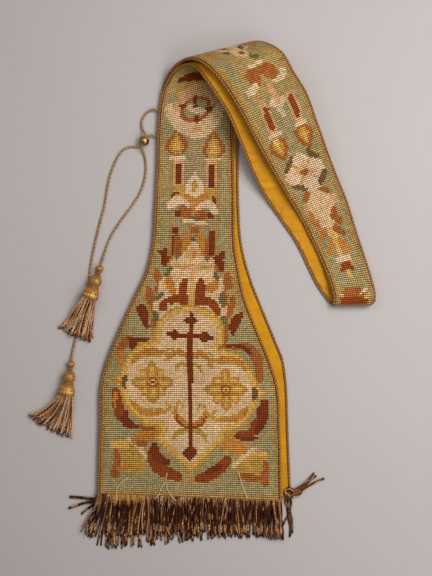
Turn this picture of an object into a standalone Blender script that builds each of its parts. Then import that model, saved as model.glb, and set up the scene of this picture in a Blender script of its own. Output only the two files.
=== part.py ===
"""A priest's stole in canvas needlework, folded in half at the neck and laid on a table.

The stole is one long strip in two like halves that meet at the back of the neck.  Each half is a
stitched face, a silk lining sewn to its back, a twisted edging down both long edges and a fringe
along the hem of its spade end.  Folded at the neck, lining to lining, the doubled strip comes up
from the neck as the arm, turns over in a soft roll, and runs down as the front to the two spades.

The upper half has its spade on top, stitches up; its stretch of the arm lies beneath, stitches
down.  The under half lies the other way round in both.  A pair of tie cords with a slider bead
and two tassels lies on the table beside the inner edge, the one that faces the neck.

Lengths are in millimetres and become metres on the mesh.  +Z is up, the table is at z = 0, the
hems point to -Y.  The tables measure from a spot on the table beside the front; finished pieces
are moved so that the origin is under the middle of the laid cloth and its fringes.
"""

import math
import random
from collections import namedtuple

import bmesh
import bpy
from mathutils import Matrix, Vector

MM = 0.001
MIDDLE = Vector((-15.6, -4.5, 0.0))

# Cloth walls
FACE_THICK = 2.0
LINING_THICK = 1.0
SEAM_GAP = 0.3
PLY = FACE_THICK + SEAM_GAP + LINING_THICK
STACK = 2 * PLY + 0.7
ACROSS = (0.0, 0.25, 0.5, 0.75, 1.0)

# Twisted edging
EDGING_DIAMETER = 3.6
EDGING_LIFT = 0.2
EDGING_STOP = 1.3
EDGE_INSET = EDGING_DIAMETER + SEAM_GAP

# Fringe
FRINGE_STRIP_DEPTH = 3.0
FRINGE_STRIP_THICK = 1.5
FRINGE_LENGTH = 51.0
FRINGE_FAN = 7.0
FRINGE_WAVE = 1.4
STRAND_WIDE = 2.1
STRAND_THICK = 1.3
STRAND_LOW = 0.95

# Tie cords, bead and tassels
CORD_DIAMETER = 3.0
CORD_STEP = 6.6
BEAD_CENTRE = Vector((-111.1, 188.8, 6.7))
BEAD_HEADING = math.radians(-120)
BEAD_BORE_RADIUS = 3.9
BEAD_RADIUS = 6.6
BEAD_LENGTH = 8.4
TASSEL_SIDES = 14
TASSEL_ROWS = 2
TASSEL_COLUMNS = 13
TASSEL_JOINTS = 3
TASSEL_SQUASH = 0.72
TASSEL_CLEAR = 0.3
TASSEL_MOUTH_WIDTH = 17.6
TASSEL_MOUTH_HEIGHT = 7.6
TASSEL_PLATE_OVERLAP = 1.8
TASSEL_PLATE_DEPTH = 3.0
TASSEL_STRAND_WIDE = 1.5
TASSEL_STRAND_THICK = 1.3
TASSEL_STRAND_RISE = 1.6
CORD_REACH = 11.0
CORD_RAMP = 5.0

# A row says where one line across the cloth lies: its inner and outer edge over the edging, on the
# stitched side, and how many steps the cloth takes from there to the next row.
Row = namedtuple("Row", "place inner outer steps")

UNDER_HALF = (
    Row("neck seam", (119, -15, 8), (169, -15, 8), 2),
    Row("neck turn", (121, -11.5, 13), (173, -11, 13), 2),
    Row("neck crown", (121, -2, 15.5), (174, 1, 15.5), 1),
    Row("neck slope", (118, 10, 13), (171, 15, 13), 2),
    Row("arm low", (98, 59, 8), (151, 80, 8), 1),
    Row("arm lifts", (80, 95, 9.5), (139, 118, 9), 1),
    Row("arm quarter", (61, 125, 17), (126, 148, 13.5), 2),
    Row("arm half", (27, 180, 39), (99, 215, 31), 1),
    Row("arm high", (11, 208, 50), (87, 243, 41), 1),
    Row("roll begins", (-6, 235, 59.5), (72, 265, 48), 2),
    Row("roll crown", (-26, 261, 64), (58, 288, 51), 2),
    Row("roll shoulder", (-44, 278, 52), (41, 302, 41), 2),
    Row("roll furthest", (-62, 284.5, 33), (25, 308, 26), 2),
    Row("roll underturn", (-77, 278, 16), (12, 304, 11), 2),
    Row("roll lands", (-88.5, 258, 1.5), (6.5, 283, 1.2), 2),
    Row("front begins", (-91, 238, 0), (6, 264, 0), 1),
    Row("front turns", (-92, 203, 0), (5.5, 221, 0), 2),
    Row("front top", (-92, 157, 0), (6, 163, 0), 2),
    Row("front waist", (-93, 103, 0), (7, 103, 0), 2),
    Row("flare begins", (-95, 61, 0), (10, 64, 0), 2),
    Row("flare", (-106, 14, 0), (21, 20, 0), 2),
    Row("flare middle", (-122, -24, 0), (35, -16, 0), 2),
    Row("flare low", (-141, -65, 0), (51, -55, 0), 2),
    Row("spade shoulder", (-156, -100, 0), (62, -84, 0), 2),
    Row("spade top", (-161, -125, 0), (65, -105, 0), 2),
    Row("spade", (-162, -190, 0), (68, -175, 0), 1),
    Row("hem", (-161, -262, 0), (71, -249, 0), 1),
)

UPPER_HALF = (
    Row("neck seam", (119, -15, 8), (169, -15, 8), 2),
    Row("neck turn", (117.5, -12.5, 2.8), (167, -12, 2.8), 1),
    Row("neck lands", (114, -7.5, 0.3), (163, -7, 0.3), 1),
    Row("arm flat", (105, 5, 0), (155, 14, 0), 2),
    Row("arm low", (72, 69, 0), (126, 94, 0), 1),
    Row("arm lifts", (54.5, 94, 0), (115, 121, 0), 1),
    Row("arm quarter", (41, 114, 3), (104, 143, 2.5), 1),
    Row("arm third", (28, 135, 10), (94, 167, 8), 2),
    Row("arm half", (2, 192, 30), (75, 226, 24), 1),
    Row("arm high", (-10, 217, 39.5), (66, 249, 31), 1),
    Row("roll begins", (-22, 235, 46), (57, 267, 35), 1),
    Row("roll crown", (-35, 253, 49.5), (48, 279, 37), 2),
    Row("roll shoulder", (-49, 270.5, 41), (35, 294, 31.5), 2),
    Row("roll furthest", (-61, 275, 30), (24, 298.5, 24), 2),
    Row("roll underturn", (-76, 269, 18), (11, 294, 15), 2),
    Row("roll lands", (-88, 252, 9.2), (2, 278, 8.8), 2),
    Row("front begins", (-92, 236, STACK), (0, 259, STACK), 1),
    Row("front turns", (-95, 205, STACK), (-1, 219, STACK), 2),
    Row("front top", (-96, 160, STACK), (0, 164, STACK), 2),
    Row("front waist", (-99, 102, STACK), (1, 102, STACK), 2),
    Row("flare begins", (-102, 60, STACK), (1.5, 62, STACK), 2),
    Row("flare", (-109, 29, STACK), (6, 31, STACK), 2),
    Row("flare middle", (-121, 3, STACK), (12, 1, STACK), 2),
    Row("flare low", (-141, -40, STACK), (28, -42, STACK), 2),
    Row("spade shoulder", (-160, -88, STACK), (46, -87, STACK), 2),
    Row("spade top", (-165, -109, STACK), (53, -109, STACK), 2),
    Row("spade", (-167, -165, STACK), (57, -165, STACK), 1),
    Row("hem", (-169, -245, STACK), (59, -254, STACK), 1),
)

# Cord routes: out of the inner edge, down to the table, through the bead and on to the tassels.
LONG_ROUTE = (
    (-95.7, 194.8, 5.6), (-99.0, 195.3, 5.3), (-102.4, 195.8, 5.0), (-105.6, 195.4, 4.9),
    (-108.3, 193.6, 5.0), (-110.1, 190.7, 5.0), (-111.7, 187.8, 5.0), (-113.3, 184.9, 4.9),
    (-116.2, 182.6, 4.2), (-120.5, 181.9, 2.9), (-126.0, 182.2, 1.8), (-132.0, 181.2, 1.6),
    (-138.0, 177.5, 1.6), (-143.0, 171.0, 1.6), (-148.0, 161.0, 1.6), (-153.0, 147.5, 1.6),
    (-157.0, 129.0, 1.6), (-160.0, 110.0, 1.6), (-165.0, 91.0, 1.6), (-170.0, 71.0, 1.6),
    (-174.5, 51.0, 1.6), (-177.5, 33.0, 1.6), (-180.0, 14.0, 1.6), (-184.0, -6.0, 1.6),
    (-189.0, -28.0, 1.6), (-194.0, -48.0, 1.6), (-198.0, -64.0, 1.9), (-200.1, -76.0, 3.0),
    (-200.8, -81.8, 3.9),
)
SHORT_ROUTE = (
    (-93.4, 226.5, 5.6), (-97.8, 227.8, 4.8), (-102.8, 227.4, 2.8), (-107.8, 224.4, 1.8),
    (-112.0, 219.0, 1.6), (-114.2, 212.6, 1.6), (-113.8, 206.8, 2.2), (-112.0, 201.6, 4.3),
    (-109.7, 197.4, 6.7), (-109.4, 193.1, 8.2), (-110.9, 189.2, 8.4), (-112.8, 185.6, 8.2),
    (-113.4, 181.6, 6.9), (-112.4, 177.0, 4.3), (-110.6, 171.5, 2.2), (-109.4, 164.5, 1.6),
    (-109.0, 152.5, 1.6), (-111.5, 138.0, 1.6), (-117.0, 124.0, 1.6), (-125.0, 111.0, 1.6),
    (-134.0, 99.0, 1.6), (-143.0, 86.5, 1.6), (-150.5, 74.5, 1.6), (-156.5, 62.0, 1.6),
    (-160.5, 50.0, 1.9), (-163.0, 41.0, 3.2), (-164.3, 36.0, 4.0),
)

# The head of a tassel: how far down it each ring is, and the ring's radius.
Ring = namedtuple("Ring", "along radius")
TASSEL_HEAD = (
    Ring(0.0, 2.2), Ring(1.6, 4.2), Ring(4.6, 4.8), Ring(7.4, 3.8), Ring(9.4, 2.6), Ring(12.0, 3.2),
    Ring(15.5, 6.6), Ring(20.0, 8.0), Ring(24.5, 7.3), Ring(27.5, 6.2), Ring(31.0, 7.6),
    Ring(37.0, 10.0), Ring(42.0, 10.4),
)
TASSEL_HEAD_LENGTH = TASSEL_HEAD[-1].along

# Where a tassel lies: the top of its knot, its heading, how far its skirt fans to the left and
# right of that heading, and its strands' length at both sides.
Lie = namedtuple("Lie", "top heading fan_left fan_right left_length right_length")
TASSEL_SHORT = Lie((-164.7, 35.2), -108, 21, 11, 52, 55)
TASSEL_LONG = Lie((-201.0, -82.6), -98, 47, 4, 49, 55)

# A fringe: its strip's height over the table, its strands, the joints in each and the height they
# come down to.  Stray strands, numbered from the inner end, lie well away from the rest down on the
# table; a tuft leaves the strip's outer end along a route of its own.
Comb = namedtuple("Comb", "height strands joints low strays tuft seed")
UNDER_FRINGE = Comb(
    height=1.1, strands=48, joints=2, low=STRAND_LOW, strays={},
    tuft=((77, -247), (88, -239), (103, -230), (113, -223)), seed=7,
)
UPPER_FRINGE = Comb(
    height=STACK - PLY / 2, strands=64, joints=3, low=2.9,
    strays={0: (-204, -252), 1: (-205, -266), 2: (-189, -273), 3: (-187, -290), 4: (-181, -301)},
    tuft=(), seed=3,
)

COLOURS = {
    "needlework": ((0.33, 0.27, 0.13), 0.9, 0.0),
    "lining": ((0.62, 0.30, 0.03), 0.45, 0.0),
    "edging": ((0.22, 0.11, 0.05), 0.6, 0.2),
    "fringe": ((0.20, 0.10, 0.04), 0.5, 0.5),
    "tie cord": ((0.36, 0.22, 0.08), 0.6, 0.2),
    "brass": ((0.55, 0.38, 0.16), 0.25, 1.0),
    "tassel": ((0.34, 0.18, 0.06), 0.5, 0.4),
}


def clear_scene():
    for thing in list(bpy.data.objects):
        bpy.data.objects.remove(thing, do_unlink=True)


def material(name):
    colour, roughness, metallic = COLOURS[name]
    made = bpy.data.materials.get(name)
    if made is None:
        made = bpy.data.materials.new(name)
        made.use_nodes = True
        shader = made.node_tree.nodes["Principled BSDF"]
        shader.inputs["Base Color"].default_value = (*colour, 1.0)
        shader.inputs["Roughness"].default_value = roughness
        shader.inputs["Metallic"].default_value = metallic
    return made


def add_object(name, data, finish):
    piece = bpy.data.objects.new(name, data)
    data.materials.append(material(finish))
    bpy.context.scene.collection.objects.link(piece)
    return piece


def mesh_object(name, bm, finish):
    """Turns a bmesh in millimetres into an object in metres, with its faces pointing out."""
    bmesh.ops.recalc_face_normals(bm, faces=bm.faces)
    bmesh.ops.translate(bm, vec=-MIDDLE, verts=bm.verts)
    bmesh.ops.scale(bm, vec=(MM, MM, MM), verts=bm.verts)
    mesh = bpy.data.meshes.new(name)
    bm.to_mesh(mesh)
    bm.free()
    mesh.shade_smooth()
    mesh.set_sharp_from_angle(angle=math.radians(40))
    return add_object(name, mesh, finish)


def tube_object(name, points, diameter, resolution, finish):
    """A closed round tube through points in millimetres."""
    curve = bpy.data.curves.new(name, "CURVE")
    curve.dimensions = "3D"
    curve.bevel_depth = diameter / 2 * MM
    curve.bevel_resolution = resolution
    curve.use_fill_caps = True
    spline = curve.splines.new("POLY")
    spline.points.add(len(points) - 1)
    for knot, point in zip(spline.points, points):
        knot.co = (*((Vector(point) - MIDDLE) * MM), 1.0)
    return add_object(name, curve, finish)


def smooth_slope(before, here, after, gap_before, gap_after):
    """Slope at a knot of a smooth curve through unevenly spaced knots."""
    rise_before = (here - before) / gap_before
    rise_after = (after - here) / gap_after
    return (rise_before * gap_after + rise_after * gap_before) / (gap_before + gap_after)


def level_slope(before, here, after, gap_before, gap_after):
    """The same for a height, which never swings past its knots."""
    rise_before = (here - before) / gap_before
    rise_after = (after - here) / gap_after
    if rise_before * rise_after <= 0:
        return 0.0
    return 2 * rise_before * rise_after / (rise_before + rise_after)


def hermite(start, end, start_slope, end_slope, gap, share):
    square = share * share
    cube = square * share
    return (
        start * (2 * cube - 3 * square + 1)
        + start_slope * gap * (cube - 2 * square + share)
        + end * (3 * square - 2 * cube)
        + end_slope * gap * (cube - square)
    )


class LaidHalf:
    """One half of the stole as it lies: a surface ruled from its inner to its outer edge."""

    def __init__(self, rows, stitches_follow):
        self.rows = rows
        self.side = stitches_follow
        self.gaps = [
            (math.dist(a.inner, b.inner) + math.dist(a.outer, b.outer)) / 2
            for a, b in zip(rows, rows[1:])
        ]
        self.knots = {
            "inner": [row.inner for row in rows],
            "outer": [row.outer for row in rows],
        }
        self.slopes = {edge: self.edge_slopes(knots) for edge, knots in self.knots.items()}

    def edge_slopes(self, knots):
        """The cloth stands upright at the neck seam and runs straight off at the hem."""
        upright = math.copysign(1.0, knots[1][2] - knots[0][2])
        slopes = [[0.0, 0.0, upright]]
        for i in range(1, len(knots) - 1):
            here = knots[i]
            slope = []
            for axis in range(3):
                rule = level_slope if axis == 2 else smooth_slope
                slope.append(
                    rule(
                        knots[i - 1][axis], here[axis], knots[i + 1][axis],
                        self.gaps[i - 1], self.gaps[i],
                    )
                )
            slopes.append(slope)
        slopes.append([(b - a) / self.gaps[-1] for a, b in zip(knots[-2], knots[-1])])
        return slopes

    def edge_point(self, edge, row, share):
        knots, slopes = self.knots[edge], self.slopes[edge]
        return Vector([
            hermite(
                knots[row][axis], knots[row + 1][axis],
                slopes[row][axis], slopes[row + 1][axis],
                self.gaps[row], share,
            )
            for axis in range(3)
        ])

    def edge_heading(self, edge, row, share):
        step = 0.02
        low, high = max(share - step, 0.0), min(share + step, 1.0)
        return (self.edge_point(edge, row, high) - self.edge_point(edge, row, low)) / (high - low)

    def stations(self):
        """Where the cloth is cut into steps, as (row, share of the way to the next row)."""
        found = []
        for i, row in enumerate(self.rows[:-1]):
            found += [(i, step / row.steps) for step in range(row.steps)]
        return found + [(len(self.rows) - 2, 1.0)]

    def inset(self, edge, row, share, distance):
        """A point that far in from an edge, square to it and in the cloth's surface."""
        here = self.edge_point(edge, row, share)
        heading = self.edge_heading(edge, row, share).normalized()
        other = "outer" if edge == "inner" else "inner"
        inward = self.edge_point(other, row, share) - here
        inward -= heading * inward.dot(heading)
        return here + inward.normalized() * distance

    def normal(self, row, share, across):
        """Out of the stitched side, at a share of the way across."""
        ruling = self.edge_point("outer", row, share) - self.edge_point("inner", row, share)
        heading = self.edge_heading("inner", row, share).lerp(
            self.edge_heading("outer", row, share), across
        )
        return ruling.cross(heading).normalized() * self.side

    def wall_point(self, row, share, across, depth):
        inner = self.inset("inner", row, share, EDGE_INSET)
        outer = self.inset("outer", row, share, EDGE_INSET)
        return inner.lerp(outer, across) - self.normal(row, share, across) * depth


def cloth_wall(name, half, top_depth, bottom_depth, finish):
    """A wall of cloth between two depths below the stitched surface."""
    stations = half.stations()
    # The neck end stops short of the seam so that the halves lie a gap apart.
    stations[0] = (0, SEAM_GAP / 2 / half.gaps[0])
    bm = bmesh.new()
    bmesh.ops.create_grid(bm, x_segments=len(stations) - 1, y_segments=len(ACROSS) - 1, size=0.5)
    index = bm.verts.layers.int.new("index")
    for vert in bm.verts:
        along = round((vert.co.x + 0.5) * (len(stations) - 1))
        across = round((vert.co.y + 0.5) * (len(ACROSS) - 1))
        vert[index] = along * len(ACROSS) + across
    for vert in bm.verts:
        row, share = stations[vert[index] // len(ACROSS)]
        vert.co = half.wall_point(row, share, ACROSS[vert[index] % len(ACROSS)], top_depth)
    grown = bmesh.ops.extrude_face_region(bm, geom=bm.faces[:])
    for vert in (item for item in grown["geom"] if isinstance(item, bmesh.types.BMVert)):
        row, share = stations[vert[index] // len(ACROSS)]
        vert.co = half.wall_point(row, share, ACROSS[vert[index] % len(ACROSS)], bottom_depth)
    return mesh_object(name, bm, finish)


def edging(name, half, edge):
    """The twisted edging down one long edge, just clear of face and lining."""
    stations = half.stations()
    stations[0] = (0, EDGING_STOP / half.gaps[0])
    across = 0.0 if edge == "inner" else 1.0
    points = [
        half.inset(edge, row, share, EDGING_DIAMETER / 2)
        - half.normal(row, share, across) * (PLY / 2 + EDGING_LIFT)
        for row, share in stations
    ]
    return tube_object(name, points, EDGING_DIAMETER, 1, "edging")


def drawn_on(bm, face, corners, places):
    """Draws a face out so that each of its corners goes to its place; returns the new face."""
    new_face = bmesh.ops.extrude_discrete_faces(bm, faces=[face])["faces"][0]
    fresh = [min(new_face.verts, key=lambda vert: (vert.co - old.co).length) for old in corners]
    for vert, place in zip(fresh, places):
        vert.co = place
    return new_face, fresh


def grow_strand(bm, face, route, wide, thick):
    """Draws one face of a backing out along a route, as a four-sided strand."""
    before = face.calc_center_median()
    side = face.normal.cross(Vector((0, 0, 1)))
    corners = list(face.verts)
    signs = [
        (math.copysign(1, (vert.co - before).dot(side)), math.copysign(1, vert.co.z - before.z))
        for vert in corners
    ]
    for i, point in enumerate(route):
        after = route[i + 1] if i + 1 < len(route) else 2 * point - before
        heading = after - before
        side = heading.cross(Vector((0, 0, 1))).normalized()
        lift = side.cross(heading).normalized()
        taper = 1.0 - 0.25 * i / len(route)
        places = [point + (side * a * wide + lift * b * thick) * taper / 2 for a, b in signs]
        face, corners = drawn_on(bm, face, corners, places)
        before = point


def backing(bm, start, end, z, depth, thick, cells, rows=1):
    """A narrow block from start to end.  Its open side, on the right of that way, is cut into
    cells, which are returned row by row from the lowest."""
    along = Vector((end[0] - start[0], end[1] - start[1], 0))
    out = along.normalized().cross(Vector((0, 0, 1)))
    corner = Vector((start[0], start[1], z - thick / 2))
    bmesh.ops.create_grid(bm, x_segments=cells, y_segments=rows, size=0.5)
    for vert in bm.verts:
        across, up = vert.co.x + 0.5, vert.co.y + 0.5
        vert.co = corner + along * across + Vector((0, 0, thick * up))
    grown = bmesh.ops.extrude_face_region(bm, geom=bm.faces[:])
    for vert in (item for item in grown["geom"] if isinstance(item, bmesh.types.BMVert)):
        vert.co += out * depth
    bmesh.ops.recalc_face_normals(bm, faces=bm.faces)
    middle = {face: face.calc_center_median() for face in bm.faces}
    front = [face for face in bm.faces if face.normal.dot(out) > 0.9]
    front.sort(key=lambda face: (round(middle[face].z, 3), middle[face].dot(along)))
    return front


def fringe(name, half, comb):
    """A fringe along the hem: a narrow strip just clear of the cloth, with strands fused to it."""
    chance = random.Random(comb.seed)
    inner, outer = Vector(half.rows[-1].inner), Vector(half.rows[-1].outer)
    along = (outer - inner).normalized()
    out = along.cross(Vector((0, 0, 1)))
    bm = bmesh.new()
    cells = backing(
        bm, inner + out * SEAM_GAP, outer + out * SEAM_GAP, comb.height,
        FRINGE_STRIP_DEPTH, FRINGE_STRIP_THICK, comb.strands,
    )
    for i, cell in enumerate(cells):
        root = cell.calc_center_median()
        place = i / (comb.strands - 1)
        length = FRINGE_LENGTH * chance.uniform(0.95, 1.04)
        lean = FRINGE_FAN * (2 * place - 1) ** 3 + FRINGE_WAVE * math.sin(9 * place)
        tip = root + Vector((lean + chance.uniform(-0.5, 0.5), -length, 0))
        if i in comb.strays:
            tip = Vector((*comb.strays[i], root.z))
        route = []
        for joint in range(1, comb.joints + 1):
            share = joint / comb.joints
            straight_out = root + out * (tip - root).length * share / 2
            point = straight_out.lerp(root.lerp(tip, share), 0.3 + 0.7 * share)
            point.z = comb.height + (comb.low - comb.height) * min(1.0, 1.5 * share)
            route.append(point)
        if i in comb.strays:
            route[-1].z = STRAND_LOW
        grow_strand(bm, cell, route, STRAND_WIDE, STRAND_THICK)
    if comb.tuft:
        strip_ends = [face for face in bm.faces if face.normal.dot(along) > 0.9]
        strip_end = min(strip_ends, key=lambda face: (face.calc_center_median() - outer).length)
        grow_strand(
            bm, strip_end, [Vector((*point, comb.height)) for point in comb.tuft],
            STRAND_WIDE, STRAND_THICK,
        )
    return mesh_object(name, bm, "fringe")


def smooth_route(points, step):
    """Evenly spaced points on a smooth curve through a cord's route."""
    knots = [Vector(point) for point in points]
    gaps = [(b - a).length for a, b in zip(knots, knots[1:])]
    slopes = [(knots[1] - knots[0]) / gaps[0]]
    for i in range(1, len(knots) - 1):
        slopes.append(smooth_slope(knots[i - 1], knots[i], knots[i + 1], gaps[i - 1], gaps[i]))
    slopes.append((knots[-1] - knots[-2]) / gaps[-1])
    fine = []
    for i, gap in enumerate(gaps):
        fine += [hermite(knots[i], knots[i + 1], slopes[i], slopes[i + 1], gap, k / 12) for k in range(12)]
    fine.append(knots[-1])
    total = sum((b - a).length for a, b in zip(fine, fine[1:]))
    count = round(total / step)
    even, walked, target = [fine[0]], 0.0, total / count
    for a, b in zip(fine, fine[1:]):
        length = (b - a).length
        while walked + length >= target and len(even) < count:
            even.append(a.lerp(b, (target - walked) / length))
            target += total / count
        walked += length
    even.append(fine[-1])
    return even


def slider_bead():
    """A ring with a bore for both cords, lying on the table with its bore level."""
    profile = (
        (BEAD_BORE_RADIUS, -0.5), (BEAD_BORE_RADIUS, 0.5), (0.5 * (BEAD_BORE_RADIUS + BEAD_RADIUS), 0.5),
        (BEAD_RADIUS - 0.5, 0.36), (BEAD_RADIUS, 0.13), (BEAD_RADIUS, -0.13),
        (BEAD_RADIUS - 0.5, -0.36), (0.5 * (BEAD_BORE_RADIUS + BEAD_RADIUS), -0.5),
    )
    bm = bmesh.new()
    verts = [bm.verts.new((along * BEAD_LENGTH, radius, 0)) for radius, along in profile]
    edges = [bm.edges.new((a, b)) for a, b in zip(verts, verts[1:] + verts[:1])]
    bmesh.ops.spin(
        bm, geom=verts + edges, cent=(0, 0, 0), axis=(1, 0, 0), angle=math.tau, steps=20,
        use_merge=True,
    )
    bmesh.ops.rotate(bm, cent=(0, 0, 0), matrix=Matrix.Rotation(BEAD_HEADING, 3, "Z"), verts=bm.verts)
    bmesh.ops.translate(bm, vec=BEAD_CENTRE, verts=bm.verts)
    return mesh_object("slider_bead", bm, "brass")


def tassel(name, lie, lift):
    """A tassel lying on the table: a squashed round head with a skirt of strands fused to it.
    Its lower end is lifted where it lies on the other cord."""
    angle = math.radians(lie.heading)
    heading = Vector((math.cos(angle), math.sin(angle), 0))
    side = heading.cross(Vector((0, 0, 1)))
    top = Vector((*lie.top, 0))
    head = bmesh.new()
    bmesh.ops.create_circle(head, cap_ends=True, segments=TASSEL_SIDES, radius=1.0)
    face = head.faces[:][0]
    corners = list(face.verts)
    circle = [vert.co.copy() for vert in corners]
    for i, ring in enumerate(TASSEL_HEAD):
        share = min(1.0, ring.along / TASSEL_HEAD_LENGTH)
        high = ring.radius * (1 - (1 - TASSEL_SQUASH) * share)
        centre = top + heading * ring.along + Vector((0, 0, high + TASSEL_CLEAR + lift * share))
        places = [centre + side * p.x * ring.radius + Vector((0, 0, p.y * high)) for p in circle]
        if i:
            face, corners = drawn_on(head, face, corners, places)
            continue
        for vert, place in zip(corners, places):
            vert.co = place
    bmesh.ops.holes_fill(head, edges=[edge for edge in head.edges if edge.is_boundary])
    mouth = centre - heading * TASSEL_PLATE_OVERLAP
    half_width = side * TASSEL_MOUTH_WIDTH / 2
    skirt = bmesh.new()
    cells = backing(
        skirt, mouth + half_width, mouth - half_width, centre.z,
        TASSEL_PLATE_DEPTH, TASSEL_MOUTH_HEIGHT, TASSEL_COLUMNS, TASSEL_ROWS,
    )
    for i, cell in enumerate(cells):
        row, column = divmod(i, TASSEL_COLUMNS)
        share = column / (TASSEL_COLUMNS - 1)
        root = cell.calc_center_median()
        turn = math.radians(lie.heading - lie.fan_left * (1 - share) + lie.fan_right * share)
        length = lie.left_length + (lie.right_length - lie.left_length) * share - 2 * row
        way = Vector((math.cos(turn), math.sin(turn), 0))
        route = []
        for joint in range(1, TASSEL_JOINTS + 1):
            along = joint / TASSEL_JOINTS
            point = root + heading.lerp(way, 0.5 + 0.5 * along) * length * along
            low = STRAND_LOW + TASSEL_STRAND_RISE * row + lift * cord_below(point)
            point.z = root.z + (low - root.z) * min(1.0, 1.6 * along)
            route.append(point)
        grow_strand(skirt, cell, route, TASSEL_STRAND_WIDE, TASSEL_STRAND_THICK)
    piece = mesh_object(name, head, "tassel")
    strands = mesh_object(name + "_strands", skirt, "tassel")
    strands.hide_render = True
    strands.display_type = "WIRE"
    join = piece.modifiers.new("strands", "BOOLEAN")
    join.operation = "UNION"
    join.object = strands
    return piece


def cord_below(point):
    """1 over the long tie cord and 0 clear of it."""
    nearest = min(
        math.dist(point.to_2d(), Vector(knot).to_2d()) for knot in smooth_route(LONG_ROUTE, 3.0)
    )
    return max(0.0, min(1.0, (CORD_REACH - nearest) / CORD_RAMP))


def main():
    clear_scene()
    under = LaidHalf(UNDER_HALF, 1)
    upper = LaidHalf(UPPER_HALF, -1)
    for name, half in (("under", under), ("upper", upper)):
        cloth_wall("face_" + name, half, 0.0, FACE_THICK, "needlework")
        cloth_wall("lining_" + name, half, FACE_THICK + SEAM_GAP, PLY, "lining")
        edging("edging_" + name + "_inner", half, "inner")
        edging("edging_" + name + "_outer", half, "outer")
    fringe("fringe_under", under, UNDER_FRINGE)
    fringe("fringe_upper", upper, UPPER_FRINGE)
    tube_object("tie_cord_long", smooth_route(LONG_ROUTE, CORD_STEP), CORD_DIAMETER, 2, "tie cord")
    tube_object("tie_cord_short", smooth_route(SHORT_ROUTE, CORD_STEP), CORD_DIAMETER, 2, "tie cord")
    slider_bead()
    tassel("tassel_short", TASSEL_SHORT, CORD_DIAMETER)
    tassel("tassel_long", TASSEL_LONG, 0.0)


main()
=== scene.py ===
import math
import random
from bisect import bisect_right
from collections import namedtuple

import bmesh
import bpy
from bpy.props import FloatProperty, FloatVectorProperty, PointerProperty
from bpy.types import Operator, Panel, PropertyGroup
from mathutils import Matrix, Vector
from mathutils.noise import noise as noise_at


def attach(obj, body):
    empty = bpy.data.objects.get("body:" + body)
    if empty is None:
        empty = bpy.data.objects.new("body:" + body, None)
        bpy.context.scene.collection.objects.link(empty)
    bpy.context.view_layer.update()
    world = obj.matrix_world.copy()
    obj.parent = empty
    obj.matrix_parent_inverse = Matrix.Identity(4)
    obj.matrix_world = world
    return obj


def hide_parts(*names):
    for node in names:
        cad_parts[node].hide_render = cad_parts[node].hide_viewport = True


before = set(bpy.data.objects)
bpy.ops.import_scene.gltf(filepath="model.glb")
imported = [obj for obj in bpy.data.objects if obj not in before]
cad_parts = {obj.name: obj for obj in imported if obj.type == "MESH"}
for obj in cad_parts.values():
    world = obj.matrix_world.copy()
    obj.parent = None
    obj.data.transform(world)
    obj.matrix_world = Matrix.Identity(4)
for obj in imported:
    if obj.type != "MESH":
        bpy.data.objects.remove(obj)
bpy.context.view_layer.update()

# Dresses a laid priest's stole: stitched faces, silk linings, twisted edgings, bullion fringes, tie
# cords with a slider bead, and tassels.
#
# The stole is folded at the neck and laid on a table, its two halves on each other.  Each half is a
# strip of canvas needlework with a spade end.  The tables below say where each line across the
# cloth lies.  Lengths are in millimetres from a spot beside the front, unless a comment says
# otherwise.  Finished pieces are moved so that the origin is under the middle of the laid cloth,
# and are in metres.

bl_info = {
    "name": "Needlework Stole",
    "version": (1, 0, 0),
    "blender": (4, 5, 0),
    "location": "View3D > Sidebar > Stole",
    "description": "Makes the cloth, cords, fringes and tassels of a laid needlework stole",
    "category": "Add Mesh",
}

MM = 0.001
MIDDLE = Vector((-15.6, -4.5, 0.0))
UP = Vector((0, 0, 1))

# Cloth walls, from the stitched side down, and the height of both halves on each other
FACE_THICK = 2.0
SEAM_GAP = 0.3
LINING_THICK = 1.0
PLY = FACE_THICK + SEAM_GAP + LINING_THICK
HALVES_GAP = 0.7
STACK = 2 * PLY + HALVES_GAP

# The edging: its thickness, how much deeper than the wall's middle it lies, how far short of the
# neck seam it stops, and how far in from its outer side the face and lining begin.
EDGING_DIAMETER = 3.6
EDGING_SINK = 0.2
EDGING_STOP = 1.3
EDGE_INSET = EDGING_DIAMETER + SEAM_GAP

# Each row is one line across the cloth: its inner and outer edge over the edging, stitched side.
Row = namedtuple("Row", "place inner outer")

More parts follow.
